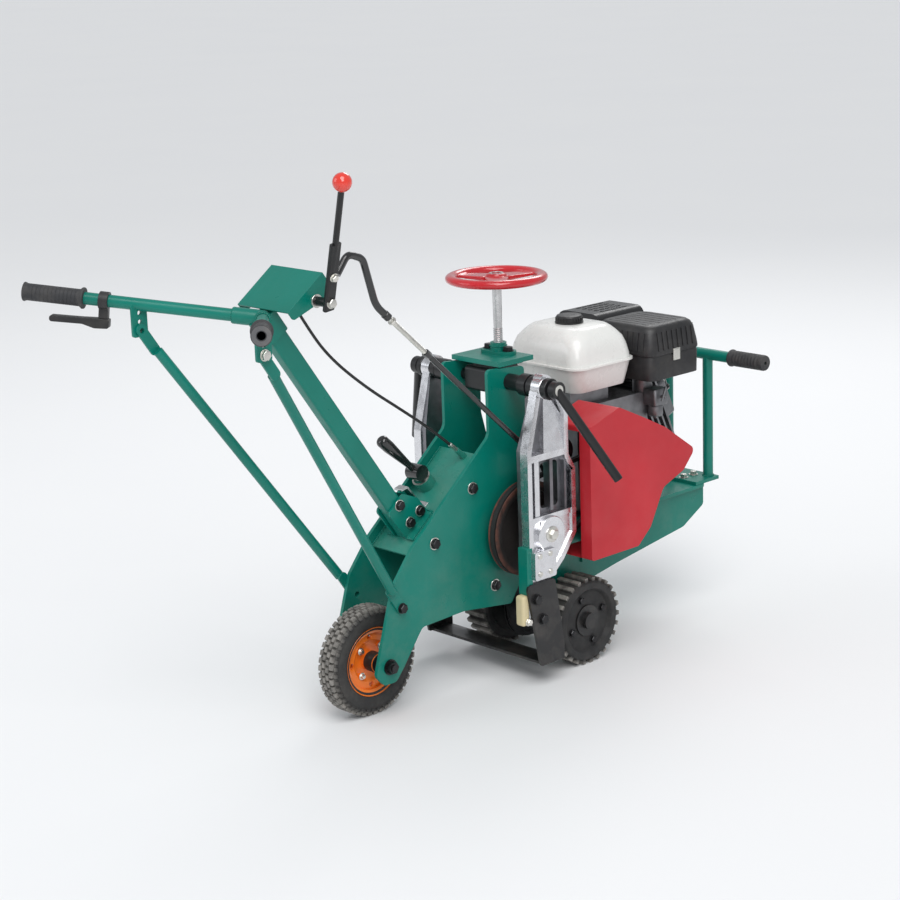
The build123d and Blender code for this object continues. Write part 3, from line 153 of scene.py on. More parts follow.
def noise(tree, scale, detail=3.0, rough=0.55):
    """Noise value over the piece's own coordinates, with scale in cycles per metre."""
    coords = node(tree, "TexCoord")
    tex = node(tree, "TexNoise", {"Vector": coords.outputs["Object"], "Scale": scale, "Detail": detail,
                                  "Roughness": rough})
    return tex.outputs["Fac"]


def ramp(tree, value, low, high, a=0.0, b=1.0):
    """Value that goes from a to b while the given one goes from low to high."""
    n = node(tree, "MapRange", {"Value": value, "From Min": low, "From Max": high, "To Min": a, "To Max": b})
    n.clamp = True
    return n.outputs["Result"]


def maths(tree, kind, a, b=0.0):
    n = node(tree, "Math", operation=kind)
    for k, v in enumerate((a, b)):
        if isinstance(v, bpy.types.NodeSocket):
            tree.links.new(v, n.inputs[k])
        else:
            n.inputs[k].default_value = v
    return n.outputs["Value"]


def blend_colours(tree, factor, a, b):
    """Colour a where the factor is 0 and b where it is 1."""
    n = node(tree, "Mix", data_type="RGBA")
    for key, value in ((0, factor), (6, a), (7, b)):
        if isinstance(value, bpy.types.NodeSocket):
            tree.links.new(value, n.inputs[key])
        elif key == 0:
            n.inputs[0].default_value = value
        else:
            n.inputs[key].default_value = (*value, 1)
    return n.outputs[2]


def bump(tree, height, strength, distance):
    """Normal of a skin that rises with height, over a distance in metres."""
    n = node(tree, "Bump", {"Height": height, "Strength": strength, "Distance": distance})
    return n.outputs["Normal"]


def height_dust(tree, top):
    """Factor that grows towards the ground below the given height in metres."""
    coords = node(tree, "TexCoord")
    split = node(tree, "SeparateXYZ", {"Vector": coords.outputs["Object"]})
    return ramp(tree, split.outputs["Z"], top, 0.0)


def radius_of(tree, axis):
    """Distance in metres from an axis along Y."""
    centre = around(axis, 0)
    coords = node(tree, "TexCoord")
    split = node(tree, "SeparateXYZ", {"Vector": coords.outputs["Object"]})
    dx = maths(tree, "SUBTRACT", split.outputs["X"], centre.x)
    dz = maths(tree, "SUBTRACT", split.outputs["Z"], centre.z)
    squares = maths(tree, "ADD", maths(tree, "MULTIPLY", dx, dx), maths(tree, "MULTIPLY", dz, dz))
    return maths(tree, "SQRT", squares)


DUST = (0.36, 0.32, 0.27)


def paint(name, base, darker, rough=0.34, coat=0.12, peel=0.12, dust_top=0.45, dust=0.22):
    """Sprayed paint: slow tone changes, dark specks, orange peel and patchy dust low down."""
    material, tree, shader = new_material(name)
    tone = ramp(tree, noise(tree, 5.0, 4), 0.35, 0.7)
    speck = ramp(tree, noise(tree, 90.0, 2), 0.62, 0.75, 0, 0.35)
    colour = blend_colours(tree, tone, darker, base)
    patches = ramp(tree, noise(tree, 14.0, 6, 0.7), 0.45, 0.8)
    low_down = maths(tree, "MULTIPLY", height_dust(tree, dust_top), dust)
    grime = maths(tree, "MULTIPLY", patches, low_down)
    colour = blend_colours(tree, grime, colour, DUST)
    colour = blend_colours(tree, maths(tree, "MULTIPLY", speck, 0.12), colour, darker)
    tree.links.new(colour, shader.inputs["Base Color"])
    sheen = ramp(tree, noise(tree, 22.0, 4), 0.3, 0.75, rough - 0.08, rough + 0.16)
    tree.links.new(sheen, shader.inputs["Roughness"])
    shader.inputs["Specular IOR Level"].default_value = 0.34
    shader.inputs["Coat Weight"].default_value = coat
    shader.inputs["Coat Roughness"].default_value = 0.12
    tree.links.new(bump(tree, noise(tree, 300.0, 2), peel * 0.6, 0.0005), shader.inputs["Normal"])
    return material


def metal(name, base, darker, rough=0.3, cast=0.0, metallic=1.0):
    """Bare metal; cast makes its skin coarser."""
    material, tree, shader = new_material(name)
    tone = ramp(tree, noise(tree, 18.0, 5, 0.65), 0.3, 0.72)
    tree.links.new(blend_colours(tree, tone, darker, base), shader.inputs["Base Color"])
    shader.inputs["Metallic"].default_value = metallic
    sheen = ramp(tree, noise(tree, 60.0, 4, 0.6), 0.3, 0.75, rough - 0.1, rough + 0.14)
    tree.links.new(sheen, shader.inputs["Roughness"])
    grain = noise(tree, 900.0 if cast == 0 else 260.0, 3, 0.6)
    tree.links.new(bump(tree, grain, 0.10 + 0.5 * cast, 0.0003 + 0.0008 * cast), shader.inputs["Normal"])
    return material


def plastic(name, base, darker, rough=0.5, grain=0.25, coat=0.0, scale=700.0, dust=0.0):
    """Moulded plastic or smooth rubber with a fine grain, and a patchy dust film if asked."""
    material, tree, shader = new_material(name)
    tone = ramp(tree, noise(tree, 9.0, 4), 0.35, 0.7)
    colour = blend_colours(tree, tone, darker, base)
    if dust:
        grime = maths(tree, "MULTIPLY", ramp(tree, noise(tree, 30.0, 6, 0.7), 0.42, 0.75), dust)
        colour = blend_colours(tree, grime, colour, DUST)
    tree.links.new(colour, shader.inputs["Base Color"])
    sheen = ramp(tree, noise(tree, 35.0, 3), 0.3, 0.7, rough - 0.07, rough + 0.1)
    tree.links.new(sheen, shader.inputs["Roughness"])
    shader.inputs["Coat Weight"].default_value = coat
    shader.inputs["Coat Roughness"].default_value = 0.08
    tree.links.new(bump(tree, noise(tree, scale, 3), grain, 0.0005), shader.inputs["Normal"])
    return material


def rubber_tread(name, axis, inner, outer, dust, haze=0.22):
    """Rubber round an axis, with pale dust where it is outside the inner radius, in metres."""
    material, tree, shader = new_material(name)
    tone = ramp(tree, noise(tree, 24.0, 4), 0.35, 0.7)
    colour = blend_colours(tree, tone, (0.018, 0.018, 0.019), (0.036, 0.035, 0.034))
    high = ramp(tree, radius_of(tree, axis), inner, outer)
    patch = ramp(tree, noise(tree, 55.0, 6, 0.7), 0.32, 0.66, 0.25, 1.0)
    worn = maths(tree, "MULTIPLY", maths(tree, "MULTIPLY", high, patch), dust)
    film = maths(tree, "MULTIPLY", ramp(tree, noise(tree, 16.0, 5, 0.7), 0.45, 0.8), haze)
    colour = blend_colours(tree, film, colour, (0.20, 0.18, 0.155))
    colour = blend_colours(tree, worn, colour, (0.40, 0.375, 0.34))
    tree.links.new(colour, shader.inputs["Base Color"])
    tree.links.new(ramp(tree, noise(tree, 40.0, 3), 0.3, 0.7, 0.62, 0.85), shader.inputs["Roughness"])
    tree.links.new(bump(tree, noise(tree, 520.0, 4), 0.35, 0.0006), shader.inputs["Normal"])
    return material


GREEN = paint("green_paint", (0.0, 0.200, 0.152), (0.0, 0.165, 0.122))
DECK = paint("deck_paint", (0.028, 0.235, 0.180), (0.012, 0.195, 0.145),
             rough=0.28, coat=0.3, dust_top=0.9, dust=0.3)
RED = paint("red_paint", (0.62, 0.012, 0.022), (0.48, 0.008, 0.014), rough=0.2, coat=0.8, peel=0.05, dust=0.0)
GUARD = paint("red_sheet", (0.56, 0.022, 0.033), (0.47, 0.016, 0.025),
              rough=0.42, coat=0.1, peel=0.08, dust=0.12)
ORANGE = paint("orange_rim", (0.95, 0.235, 0.016), (0.84, 0.17, 0.010),
               rough=0.3, coat=0.4, peel=0.05, dust_top=0.25, dust=0.25)
CAST = metal("casting", (0.80, 0.80, 0.82), (0.63, 0.63, 0.65), rough=0.25, cast=0.05)
# Darker copy of the casting colour: painted shade for the arms' sunk web and pocket ribs
CAST_PAINTED_SHADE = metal("casting_painted_shade", (0.30, 0.30, 0.32), (0.16, 0.16, 0.17), rough=0.42, cast=0.3)
STEEL = metal("steel", (0.70, 0.70, 0.70), (0.52, 0.52, 0.52), rough=0.28)
ZINC = metal("zinc", (0.78, 0.76, 0.70), (0.58, 0.57, 0.54), rough=0.34)
BLACK_STEEL = paint("black_steel", (0.016, 0.016, 0.017), (0.009, 0.009, 0.010),
                    rough=0.36, coat=0.2, dust_top=0.35, dust=0.22)
BLACK_IRON = metal("black_iron", (0.035, 0.034, 0.034), (0.018, 0.018, 0.018),
                   rough=0.5, cast=0.3, metallic=0.35)


def disc_iron():
    """Dark pulley with a thin film of rust on its outer rim."""
    material, tree, shader = new_material("disc_iron")
    tone = ramp(tree, noise(tree, 16.0, 5, 0.65), 0.35, 0.72)
    iron = blend_colours(tree, tone, (0.016, 0.015, 0.015), (0.034, 0.030, 0.028))
    edge = ramp(tree, radius_of(tree, CRANK), 0.088, 0.096)
    patch = maths(tree, "MULTIPLY", edge, ramp(tree, noise(tree, 40.0, 6, 0.7), 0.3, 0.62))
    tree.links.new(blend_colours(tree, patch, iron, (0.17, 0.065, 0.045)), shader.inputs["Base Color"])
    tree.links.new(ramp(tree, patch, 0.0, 1.0, 0.42, 0.72), shader.inputs["Roughness"])
    shader.inputs["Metallic"].default_value = 0.3
    tree.links.new(bump(tree, noise(tree, 240.0, 4), 0.25, 0.0005), shader.inputs["Normal"])
    return material


RUST_RIM = disc_iron()
OXIDE = metal("oxide", (0.05, 0.05, 0.052), (0.022, 0.022, 0.024), rough=0.34, metallic=0.8)
ALLOY = metal("engine_alloy", (0.30, 0.30, 0.31), (0.19, 0.19, 0.20), rough=0.45, cast=0.35)
GRIP_RUBBER = plastic("grip_rubber", (0.040, 0.041, 0.045), (0.026, 0.027, 0.030),
                      rough=0.66, grain=0.3, dust=0.12)
GRIP_END = plastic("grip_end", (0.12, 0.12, 0.125), (0.09, 0.09, 0.094), rough=0.6, grain=0.3, dust=0.2)
BLACK_PLASTIC = plastic("black_plastic", (0.020, 0.020, 0.022), (0.012, 0.012, 0.013),
                        rough=0.42, grain=0.35, dust=0.06)
GLOSS_BLACK = plastic("gloss_black", (0.012, 0.012, 0.013), (0.008, 0.008, 0.008),
                      rough=0.18, grain=0.03, coat=0.6)
WHITE_PLASTIC = plastic("white_plastic", (0.82, 0.82, 0.79), (0.74, 0.74, 0.71),
                        rough=0.28, grain=0.05, coat=0.4)
CREAM = plastic("cream_plastic", (0.70, 0.60, 0.36), (0.58, 0.48, 0.27), rough=0.5, grain=0.3, dust=0.3)
BALL = plastic("red_ball", (0.80, 0.045, 0.020), (0.70, 0.030, 0.015), rough=0.16, grain=0.02, coat=0.9)
BELT_RUBBER = plastic("belt_rubber", (0.022, 0.022, 0.022), (0.014, 0.014, 0.014),
                      rough=0.75, grain=0.5, scale=1200.0)
CABLE_SKIN = plastic("cable_skin", (0.014, 0.014, 0.015), (0.010, 0.010, 0.010), rough=0.38, grain=0.1)
TYRE = rubber_tread("tyre", REAR_AXLE, 0.101, 0.110, 0.75)
LUG_RUBBER = rubber_tread("lug_rubber", FRONT_AXLE, 0.086, 0.094, 0.85, 0.05)

FINISH = {
    "green_paint": GREEN, "deck_paint": DECK, "red_paint": RED, "red_sheet": GUARD, "casting": CAST,
    "steel": STEEL, "black_steel": BLACK_STEEL, "black_iron": BLACK_IRON, "tyre": TYRE, "orange_rim": ORANGE,
    "rubber": GRIP_RUBBER, "engine_alloy": ALLOY, "white_plastic": WHITE_PLASTIC,
    "black_plastic": BLACK_PLASTIC, "cream_plastic": CREAM, "red_ball": BALL,
}
for name, obj in nodes.items():
    finish = FINISH[slot_of[name]]
    if not obj.data.materials:
        obj.data.materials.append(finish)
    for slot in obj.material_slots:
        slot.material = finish


# Mesh helpers: points are in metres, sizes in millimetres

def basis(axis):
    """Turn that lays +Z along an axis."""
    z = Vector(axis).normalized()
    x = z.orthogonal().normalized()
    return Matrix((x, z.cross(x), z)).transposed()


def add_lathe(bm, start, axis, profile, segments=48, close=False):
    """Revolves (radius, distance along the axis) pairs, in millimetres, about axis from start."""
    turn = basis(axis)
    rings = []
    for r, h in profile:
        ring = []
        for k in range(segments):
            a = 2 * math.pi * k / segments
            local = Vector((r * math.cos(a), r * math.sin(a), h)) / 1000
            ring.append(bm.verts.new(start + turn @ local))
        rings.append(ring)
    pairs = list(zip(rings, rings[1:]))
    if close:
        pairs.append((rings[-1], rings[0]))
    for a, b in pairs:
        for k in range(segments):
            j = (k + 1) % segments
            bm.faces.new((a[k], a[j], b[j], b[k]))
    if not close:
        if profile[0][0] > 1e-6:
            bm.faces.new(rings[0][::-1])
        if profile[-1][0] > 1e-6:
            bm.faces.new(rings[-1])


def add_rod(bm, a, b, radius, segments=24, edge=0.6):
    """Round bar from a to b with broken edges."""
    length = (b - a).length * 1000
    e = min(edge, radius / 3, length / 3)
    profile = [(radius - e, 0), (radius, e), (radius, length - e), (radius - e, length)]
    add_lathe(bm, a, b - a, profile, segments)


def add_hex(bm, start, axis, across, height, washer=None):
    """Hexagon head with a domed top, and a washer under it."""
    base = Vector(start)
    way = Vector(axis).normalized()
    if washer:
        add_lathe(bm, base, way, [(washer - 0.4, 0), (washer, 0.4), (washer, 1.2), (washer - 0.5, 1.6)], 28)
        base = base + way * 0.0016
    r = across / 2 / math.cos(math.pi / 6)
    add_lathe(bm, base, way, [(r, 0), (r, height - 1.2), (r * 0.86, height), (r * 0.80, height + 0.1)], 6)


def add_washer(bm, start, axis, bore, radius):
    """Flat ring with a softened rim."""
    add_lathe(bm, start, axis, [
        (bore, 0), (radius, 0), (radius + 0.3, 0.5), (radius - 0.2, 1.3), (bore, 1.3)], 32, close=True)


def add_box(bm, centre, size, turn=None, taper=1.0):
    """Box of the given size in millimetres; taper narrows its +Z face."""
    turn = turn or Matrix.Identity(3)
    verts = []
    for sz in (-1, 1):
        k = taper if sz > 0 else 1.0
        for sx, sy in ((-1, -1), (1, -1), (1, 1), (-1, 1)):
            local = Vector((sx * size[0] * k, sy * size[1] * k, sz * size[2])) / 2000
            verts.append(bm.verts.new(centre + turn @ local))
    for f in ((3, 2, 1, 0), (4, 5, 6, 7), (0, 1, 5, 4), (1, 2, 6, 5), (2, 3, 7, 6), (3, 0, 4, 7)):
        bm.faces.new([verts[i] for i in f])


def rounded(length, width, radius, count=10):
    """Rounded rectangle's points, in millimetres."""
    points = []
    for k, (sx, sy) in enumerate(((1, 1), (-1, 1), (-1, -1), (1, -1))):
        for j in range(count + 1):
            a = math.pi / 2 * (k + j / count)
            points.append((sx * (length / 2 - radius) + radius * math.cos(a),
                           sy * (width / 2 - radius) + radius * math.sin(a)))
    return points


def add_sections(bm, centre, sections, count=10):
    """Skin through rounded rectangles given as (z, length, width, corner radius) in millimetres."""
    rings = []
    for z, length, width, radius in sections:
        outline = rounded(length, width, radius, count)
        rings.append([bm.verts.new(centre + Vector((x, y, z)) / 1000) for x, y in outline])
    for a, b in zip(rings, rings[1:]):
        for k in range(len(a)):
            j = (k + 1) % len(a)
            bm.faces.new((a[k], a[j], b[j], b[k]))
    bm.faces.new(rings[0][::-1])
    bm.faces.new(rings[-1])


def rounded_path(points, radii, closed=True, steps=6):
    """Points of a line whose corners are rounded, in 2 or 3 dimensions."""
    points = [Vector(p) for p in points]
    out = []
    for k, (p, r) in enumerate(zip(points, radii)):
        before, after = points[k - 1], points[(k + 1) % len(points)]
        if r == 0 or (not closed and k in (0, len(points) - 1)):
            out.append(p)
            continue
        u, v = (before - p).normalized(), (after - p).normalized()
        reach = r / math.tan(max(u.angle(v), 0.05) / 2)
        reach = min(reach, 0.49 * (before - p).length, 0.49 * (after - p).length)
        a, b = p + u * reach, p + v * reach
        for j in range(steps + 1):
            t = j / steps
            out.append(a * (1 - t) ** 2 + p * 2 * t * (1 - t) + b * t ** 2)
    return out


def inset(points, depth):
    """Outline drawn in by depth on every side; its points run anticlockwise."""
    out = []
    for k, p in enumerate(points):
        p = Vector(p)
        u = (p - Vector(points[k - 1])).normalized()
        v = (Vector(points[(k + 1) % len(points)]) - p).normalized()
        a, b = Vector((-u.y, u.x)), Vector((-v.y, v.x))
        out.append(p + (a + b) * depth / (1 + a.dot(b)))
    return out


def circle(axis, radius, count=40):
    """Points of a circle round an axis along Y, as (station, height)."""
    turns = [2 * math.pi * k / count for k in range(count)]
    return [(axis[0] + radius * math.cos(a), axis[1] + radius * math.sin(a)) for a in turns]


def upright(x0, z0, x1, z1):
    """Corners of a rectangle, as (station, height)."""
    return [(x0, z0), (x1, z0), (x1, z1), (x0, z1)]


def add_prism(bm, loops, y0, y1):
    """Sheet with holes between y0 and y1; y1 may be a function of the height, for a sloping face."""
    flat = [Vector((p[0], p[1], 0)) for loop in loops for p in loop]
    near = [bm.verts.new(at(p.x, y0, p.y)) for p in flat]
    far = [bm.verts.new(at(p.x, y1(p.y) if callable(y1) else y1, p.y)) for p in flat]
    for tri in tessellate_polygon([[Vector((p[0], p[1], 0)) for p in loop] for loop in loops]):
        bm.faces.new([near[i] for i in tri])
        bm.faces.new([far[i] for i in tri[::-1]])
    first = 0
    for loop in loops:
        for k in range(len(loop)):
            a, b = first + k, first + (k + 1) % len(loop)
            bm.faces.new((near[a], near[b], far[b], far[a]))
        first += len(loop)


def add_tube(bm, points, radius, segments=20):
    """Round bar along points, closed at both ends."""
    rings = []
    side = (points[1] - points[0]).orthogonal().normalized()
    for k, p in enumerate(points):
        way = (points[min(k + 1, len(points) - 1)] - points[max(k - 1, 0)]).normalized()
        side = (side - way * side.dot(way)).normalized()
        other = way.cross(side)
        rings.append([bm.verts.new(p + (side * math.cos(2 * math.pi * j / segments)
                                        + other * math.sin(2 * math.pi * j / segments)) * radius / 1000)
                      for j in range(segments)])
    for a, b in zip(rings, rings[1:]):
        for j in range(segments):
            i = (j + 1) % segments
            bm.faces.new((a[j], a[i], b[i], b[j]))
    bm.faces.new(rings[0][::-1])
    bm.faces.new(rings[-1])


def add_bead(bm, a, b, radius=2.6, step=3.4):
    """Weld bead: overlapping drops along a line."""
    count = max(2, round((b - a).length * 1000 / step))
    way = (b - a).normalized()
    turn = basis(way)
    for k in range(count):
        spot = a + (b - a) * ((k + 0.5) / count)
        size = radius * (0.88 + 0.2 * math.sin(k * 2.3 + a.x * 90))
        rings = []
        for h, r in ((-0.9, 0.35), (-0.45, 0.85), (0.1, 1.0), (0.6, 0.75), (0.95, 0.3)):
            ring = []
            for j in range(8):
                ang = 2 * math.pi * j / 8
                local = Vector((size * r * math.cos(ang), size * r * math.sin(ang), size * h * 1.1)) / 1000
                ring.append(bm.verts.new(spot + turn @ local))
            rings.append(ring)
        for p, q in zip(rings, rings[1:]):
            for j in range(8):
                i = (j + 1) % 8
                bm.faces.new((p[j], p[i], q[i], q[j]))
        bm.faces.new(rings[0][::-1])
        bm.faces.new(rings[-1])


def add_bead_ring(bm, centre, turn, radius, count, size, step):
    """Weld bead round a tube, as short lines."""
    spots = [centre + turn @ Vector((math.cos(2 * math.pi * k / count) * radius,
                                     math.sin(2 * math.pi * k / count) * radius, 0)) / 1000
             for k in range(count + 1)]
    for a, b in zip(spots, spots[1:]):
        add_bead(bm, a, b, size, step)


def finish_mesh(name, bm, material, body, angle=32.0):
    """Object of a mesh on a body, with edges kept sharp above an angle in degrees."""
    bmesh.ops.recalc_face_normals(bm, faces=bm.faces)
    for f in bm.faces:
        f.smooth = True
    for e in bm.edges:
        if len(e.link_faces) == 2 and e.calc_face_angle(0.0) > math.radians(angle):
            e.smooth = False
    me = bpy.data.meshes.new(name)
    bm.to_mesh(me)
    bm.free()
    me.materials.append(material)
    ob = bpy.data.objects.new(name, me)
    bpy.context.scene.collection.objects.link(ob)
    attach(ob, body)
    return ob


def apply_modifiers(ob):
    """Turns an object's modifiers into its own mesh."""
    bpy.context.view_layer.update()
    done = bpy.data.meshes.new_from_object(ob.evaluated_get(bpy.context.evaluated_depsgraph_get()))
    ob.modifiers.clear()
    ob.data = done


def round_edges(ob, width, segments=2, angle=40.0, harden=False):
    """Rounds the edges sharper than an angle in degrees."""
    mod = ob.modifiers.new("edges", "BEVEL")
    mod.width = width / 1000
    mod.segments = segments
    mod.limit_method = "ANGLE"
    mod.angle_limit = math.radians(angle)
    mod.use_clamp_overlap = True
    mod.harden_normals = harden
    apply_modifiers(ob)


def dress(name, width, material=None):
    """Copy of a node with rounded edges, shown in its place."""
    angle = 38.0
    slot = slot_of[name]
    bm = bmesh.new()
    bm.from_mesh(nodes[name].data)
    bmesh.ops.remove_doubles(bm, verts=bm.verts, dist=2e-6)
    bmesh.ops.dissolve_limit(bm, angle_limit=math.radians(0.6), verts=bm.verts, edges=bm.edges)
    skin = finish_mesh(name + "_skin", bm, material or FINISH[slot], body_of[name], angle)
    round_edges(skin, width, 2, angle, True)
    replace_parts(skin, name)


def soften(ob, voxel, rounds):
    """Melts an object's pieces into one surface with soft corners."""
    mod = ob.modifiers.new("melt", "REMESH")
    mod.mode = "VOXEL"
    mod.voxel_size = voxel / 1000
    mod.use_smooth_shade = True
    mod = ob.modifiers.new("relax", "SMOOTH")
    mod.iterations = rounds
    mod.factor = 0.5
    apply_modifiers(ob)
    for p in ob.data.polygons:
        p.use_smooth = True


# Rounded edges of plates and castings, in millimetres

for name, width in {
    "side_plate_left": 0.7, "side_plate_right": 0.7, "deck_plate": 0.7, "engine_plate": 1.0,
    "screw_bridge": 1.0, "trunnion_block": 1.2, "blade": 0.5, "column_bracket": 0.8, "bracket_strap": 0.6,
    "idler_arm": 0.7, "guard_stays": 0.7, "silencer": 1.2, "gear_case": 1.5, "front_handle": 0.7,
    "handle_column": 1.0, "handlebars": 0.6, "console_plate": 0.6, "clutch_lever": 0.8, "handle_head": 0.9,
    "lever_clamp": 0.8, "hand_lever": 2.0, "side_bars": 0.6, "cross_shaft": 0.6, "struts": 0.7,
    "crank_bearings": 1.0, "engine_block": 1.4,
}.items():
    dress(name, width)
dress("drive_wheels", 1.0, LUG_RUBBER)
dress("belt_guard", 1.0)
dress("drive_disc", 0.8, RUST_RIM)
for name, finish in (("drive_belt", BELT_RUBBER), ("rear_axle", OXIDE), ("drive_chain", OXIDE),
                     ("drive_sprocket", OXIDE)):
    nodes[name].material_slots[0].material = finish


# Cast arms: a flange round a sunk web with a window, ribs, a sloping upper face, bosses and a leg; the sunk
# web, the sloping upper web and two ribs take a darker copy of the casting colour as painted shade

ARM = [(304, 236), (374, 236), (404, 262), (443, 312), (443, 450), (424, 482), (424, 574), (389, 640),
       (368, 658), (352, 660), (339, 640), (304, 505)]
ARM_RADII = [0, 0, 16, 10, 10, 10, 20, 20, 20, 20, 24, 30]
UPPER_WEB = [(307, 505), (421, 505), (421, 573), (387, 637), (366, 655), (353, 656), (342, 639)]
LOWER_PLATE = [(314, 240), (374, 240), (400, 268), (434, 316), (434, 357), (314, 357)]
FACET = [(352, 496), (414, 496), (414, 566), (386, 606), (368, 604)]
LEG = [(318, 132), (360, 132), (366, 216), (366, 250), (304, 250), (304, 216)]
# Distances from the machine's middle plane
ARM_INNER, WEB_OUTER, RIB_FOOT, FLANGE_OUTER = 134.2, 150, 149, 168


def arm_side(sign, side):
    # Two meshes of one casting: the plain cast colour, and a darker copy coloured as painted shade
    bright, painted_shade_mesh = bmesh.new(), bmesh.new()

    def add(bm, loops, y0, y1):
        add_prism(bm, loops, sign * y0, (lambda z: sign * y1(z)) if callable(y1) else sign * y1)

    window = rounded_path(upright(356, 376, 408, 472), [10] * 4)
    web = [p for p in rounded_path(inset(ARM, 3), ARM_RADII) if p.y < 500] + [(421, 505), (307, 505)]
    # Back in order round a point inside the web
    web.sort(key=lambda p: math.atan2(p[1] - 400, p[0] - 365))
    rim = rounded_path(inset(ARM, 12), [max(r - 8, 3) for r in ARM_RADII])
    # The sunk web, the sloping upper web and two ribs go into the darker mesh, coloured as painted shade
    add(painted_shade_mesh, [web, window, circle(CRANK, 34)], ARM_INNER, WEB_OUTER)
    add(painted_shade_mesh, [UPPER_WEB, circle(SHAFT, 16)], 152, lambda z: ARM_INNER + (z - 505) * 0.105)
    add(bright, [rounded_path(ARM, ARM_RADII), rim], 147, FLANGE_OUTER)
    add(bright, [[(314, 483), (413, 483), (413, 497), (312, 497)]], RIB_FOOT, 167.4)
    add(bright, [FACET], RIB_FOOT, lambda z: 167 - (z - 496) * 0.13)
    add(painted_shade_mesh, [upright(377.5, 370, 386.5, 478)], 140, 158)
    add(bright, [upright(328, 356, 341, 486)], RIB_FOOT, 163)
    add(painted_shade_mesh, [upright(418, 356, 424, 470)], RIB_FOOT, 160)
    add(bright, [upright(313, 355, 434, 366)], RIB_FOOT, 166)
    add(bright, [LOWER_PLATE, circle(CRANK, 31)], RIB_FOOT, 164)
    add_lathe(bright, around(CRANK, 0), Y * sign, [
        (30.6, ARM_INNER), (38, ARM_INNER), (38, 172), (36.5, 173.6), (3, 173.6), (3, 164.2), (30.6, 164.2)],
        56, close=True)
    add_lathe(bright, around(SHAFT, 0), Y * sign, [
        (12.3, WEB_OUTER), (22, WEB_OUTER), (22, 173), (21, 174), (12.3, 174)], 48, close=True)
    add(bright, [rounded_path(upright(307, 238, 369, 298), [6] * 4)], 160, 180)
    add(bright, [rounded_path(LEG, [8, 8, 3, 0, 0, 3])], 145.7, 165.7)
    # The web part takes the darker copy of the casting colour: painted shade
    for name, bm, finish in (("flange", bright, CAST), ("web", painted_shade_mesh, CAST_PAINTED_SHADE)):
        part = finish_mesh("arm_%s_%s" % (name, side), bm, finish, "knife")
        round_edges(part, 1.2)
        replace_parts(part, "knife_arm_" + side)


arm_side(1, "left")
arm_side(-1, "right")

# Strips and wear pads behind the legs, and the arms' bolts
strip, pads, seats = bmesh.new(), bmesh.new(), bmesh.new()
for sign in (-1, 1):
    add_box(strip, at(303.6, sign * 155, 257), (15.6, 27, 100))
    add_box(pads, at(293.4, sign * 153.7, 174.6), (20.8, 24, 65))
    add_hex(seats, at(297, sign * 165.8, 151), Y * sign, 13, 5.5, 8.6)
    add_lathe(seats, around(CRANK, sign * 173.4), Y * sign, [
        (3, 0), (17, 0), (17, 1.6), (15, 2.4), (3, 2.4)], 40)
    add_hex(seats, around(CRANK, sign * 175.8), Y * sign, 19, 7.5)
    for x, z in ((322, 288), (352, 288), (322, 250), (352, 250)):
        add_lathe(seats, at(x, sign * 179.8, z), Y * sign, [
            (3, 0), (5.6, 0), (5.6, 1.8), (5.0, 2.4), (3, 2.4)], 24)
strip = finish_mesh("leg_strip", strip, GREEN, "knife")
round_edges(strip, 1.6)
pads = finish_mesh("wear_pads", pads, CREAM, "knife")
round_edges(pads, 6.5, 5)
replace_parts(pads, "wear_blocks")
finish_mesh("arm_fasteners", seats, ZINC, "knife")


# Rear wheel: ribbed tyre, rim lips, hub and bolts

AXLE = around(REAR_AXLE, 0)
TREAD_BLOCKS = 44


def tyre():
    bm = bmesh.new()
    side = [(63.4, 17.5), (65, 19.6), (69, 21.0), (71, 20.4), (74, 22.8), (80, 24.6), (88, 25.2), (94, 24.8),
            (99, 23.2), (103, 20.8), (105.4, 17.0), (106.4, 9.0), (106.8, 0)]
    profile = [(r, -y) for r, y in side] + [(r, y) for r, y in side[::-1][1:]]
    add_lathe(bm, AXLE, Y, profile, 96, close=True)
    for k in range(TREAD_BLOCKS):
        for row, y in enumerate((-15.6, -5.3, 5.3, 15.6)):
            out, turn = wheel_spoke(2 * math.pi * (k + 0.5 * (row % 2)) / TREAD_BLOCKS)
            spot = AXLE + out * 0.1088 + Y * (y / 1000)
            add_box(bm, spot, (11.6, 8.4, 7.2), turn, 0.9)
        for sign in (-1, 1):
            out, _ = wheel_spoke(2 * math.pi * (k + 0.25) / TREAD_BLOCKS)
            lean = (out + Y * sign * 0.85).normalized()
            along = out.cross(Y).normalized()
            turn = Matrix((along, lean.cross(along), lean)).transposed()
            spot = AXLE + out * 0.1020 + Y * (sign * 0.0222)
            add_box(bm, spot, (8.6, 9.0, 4.4), turn, 0.85)
    return finish_mesh("rear_tyre_tread", bm, TYRE, "rear_wheel", 28)


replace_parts(tyre(), "rear_tyre")

bm = bmesh.new()
for sign in (-1, 1):
    add_lathe(bm, AXLE, Y * sign, [
        (59.2, 10), (59.4, 17.0), (62, 18.4), (67.4, 19.6), (70.2, 21.6), (71.2, 22.6), (71.6, 22.2),
        (70.6, 20.6), (67.8, 18.4), (62.9, 17.0), (62.9, 10)], 96, close=True)
    add_lathe(bm, AXLE, Y * sign, [
        (26, 3.0), (34, 3.2), (43.5, 9.4), (45.5, 9.7), (45.5, 8.8), (34, 2.4), (26, 2.4)], 72, close=True)
finish_mesh("rim_lips", bm, ORANGE, "rear_wheel")
bm = bmesh.new()
for sign in (-1, 1):
    add_lathe(bm, AXLE, Y * sign, [
        (8.4, 12), (20.9, 12), (20.9, 34), (19, 37.4), (13, 37.6), (8.4, 37.6)], 48, close=True)
finish_mesh("wheel_hub", bm, BLACK_STEEL, "rear_wheel")
bm = bmesh.new()
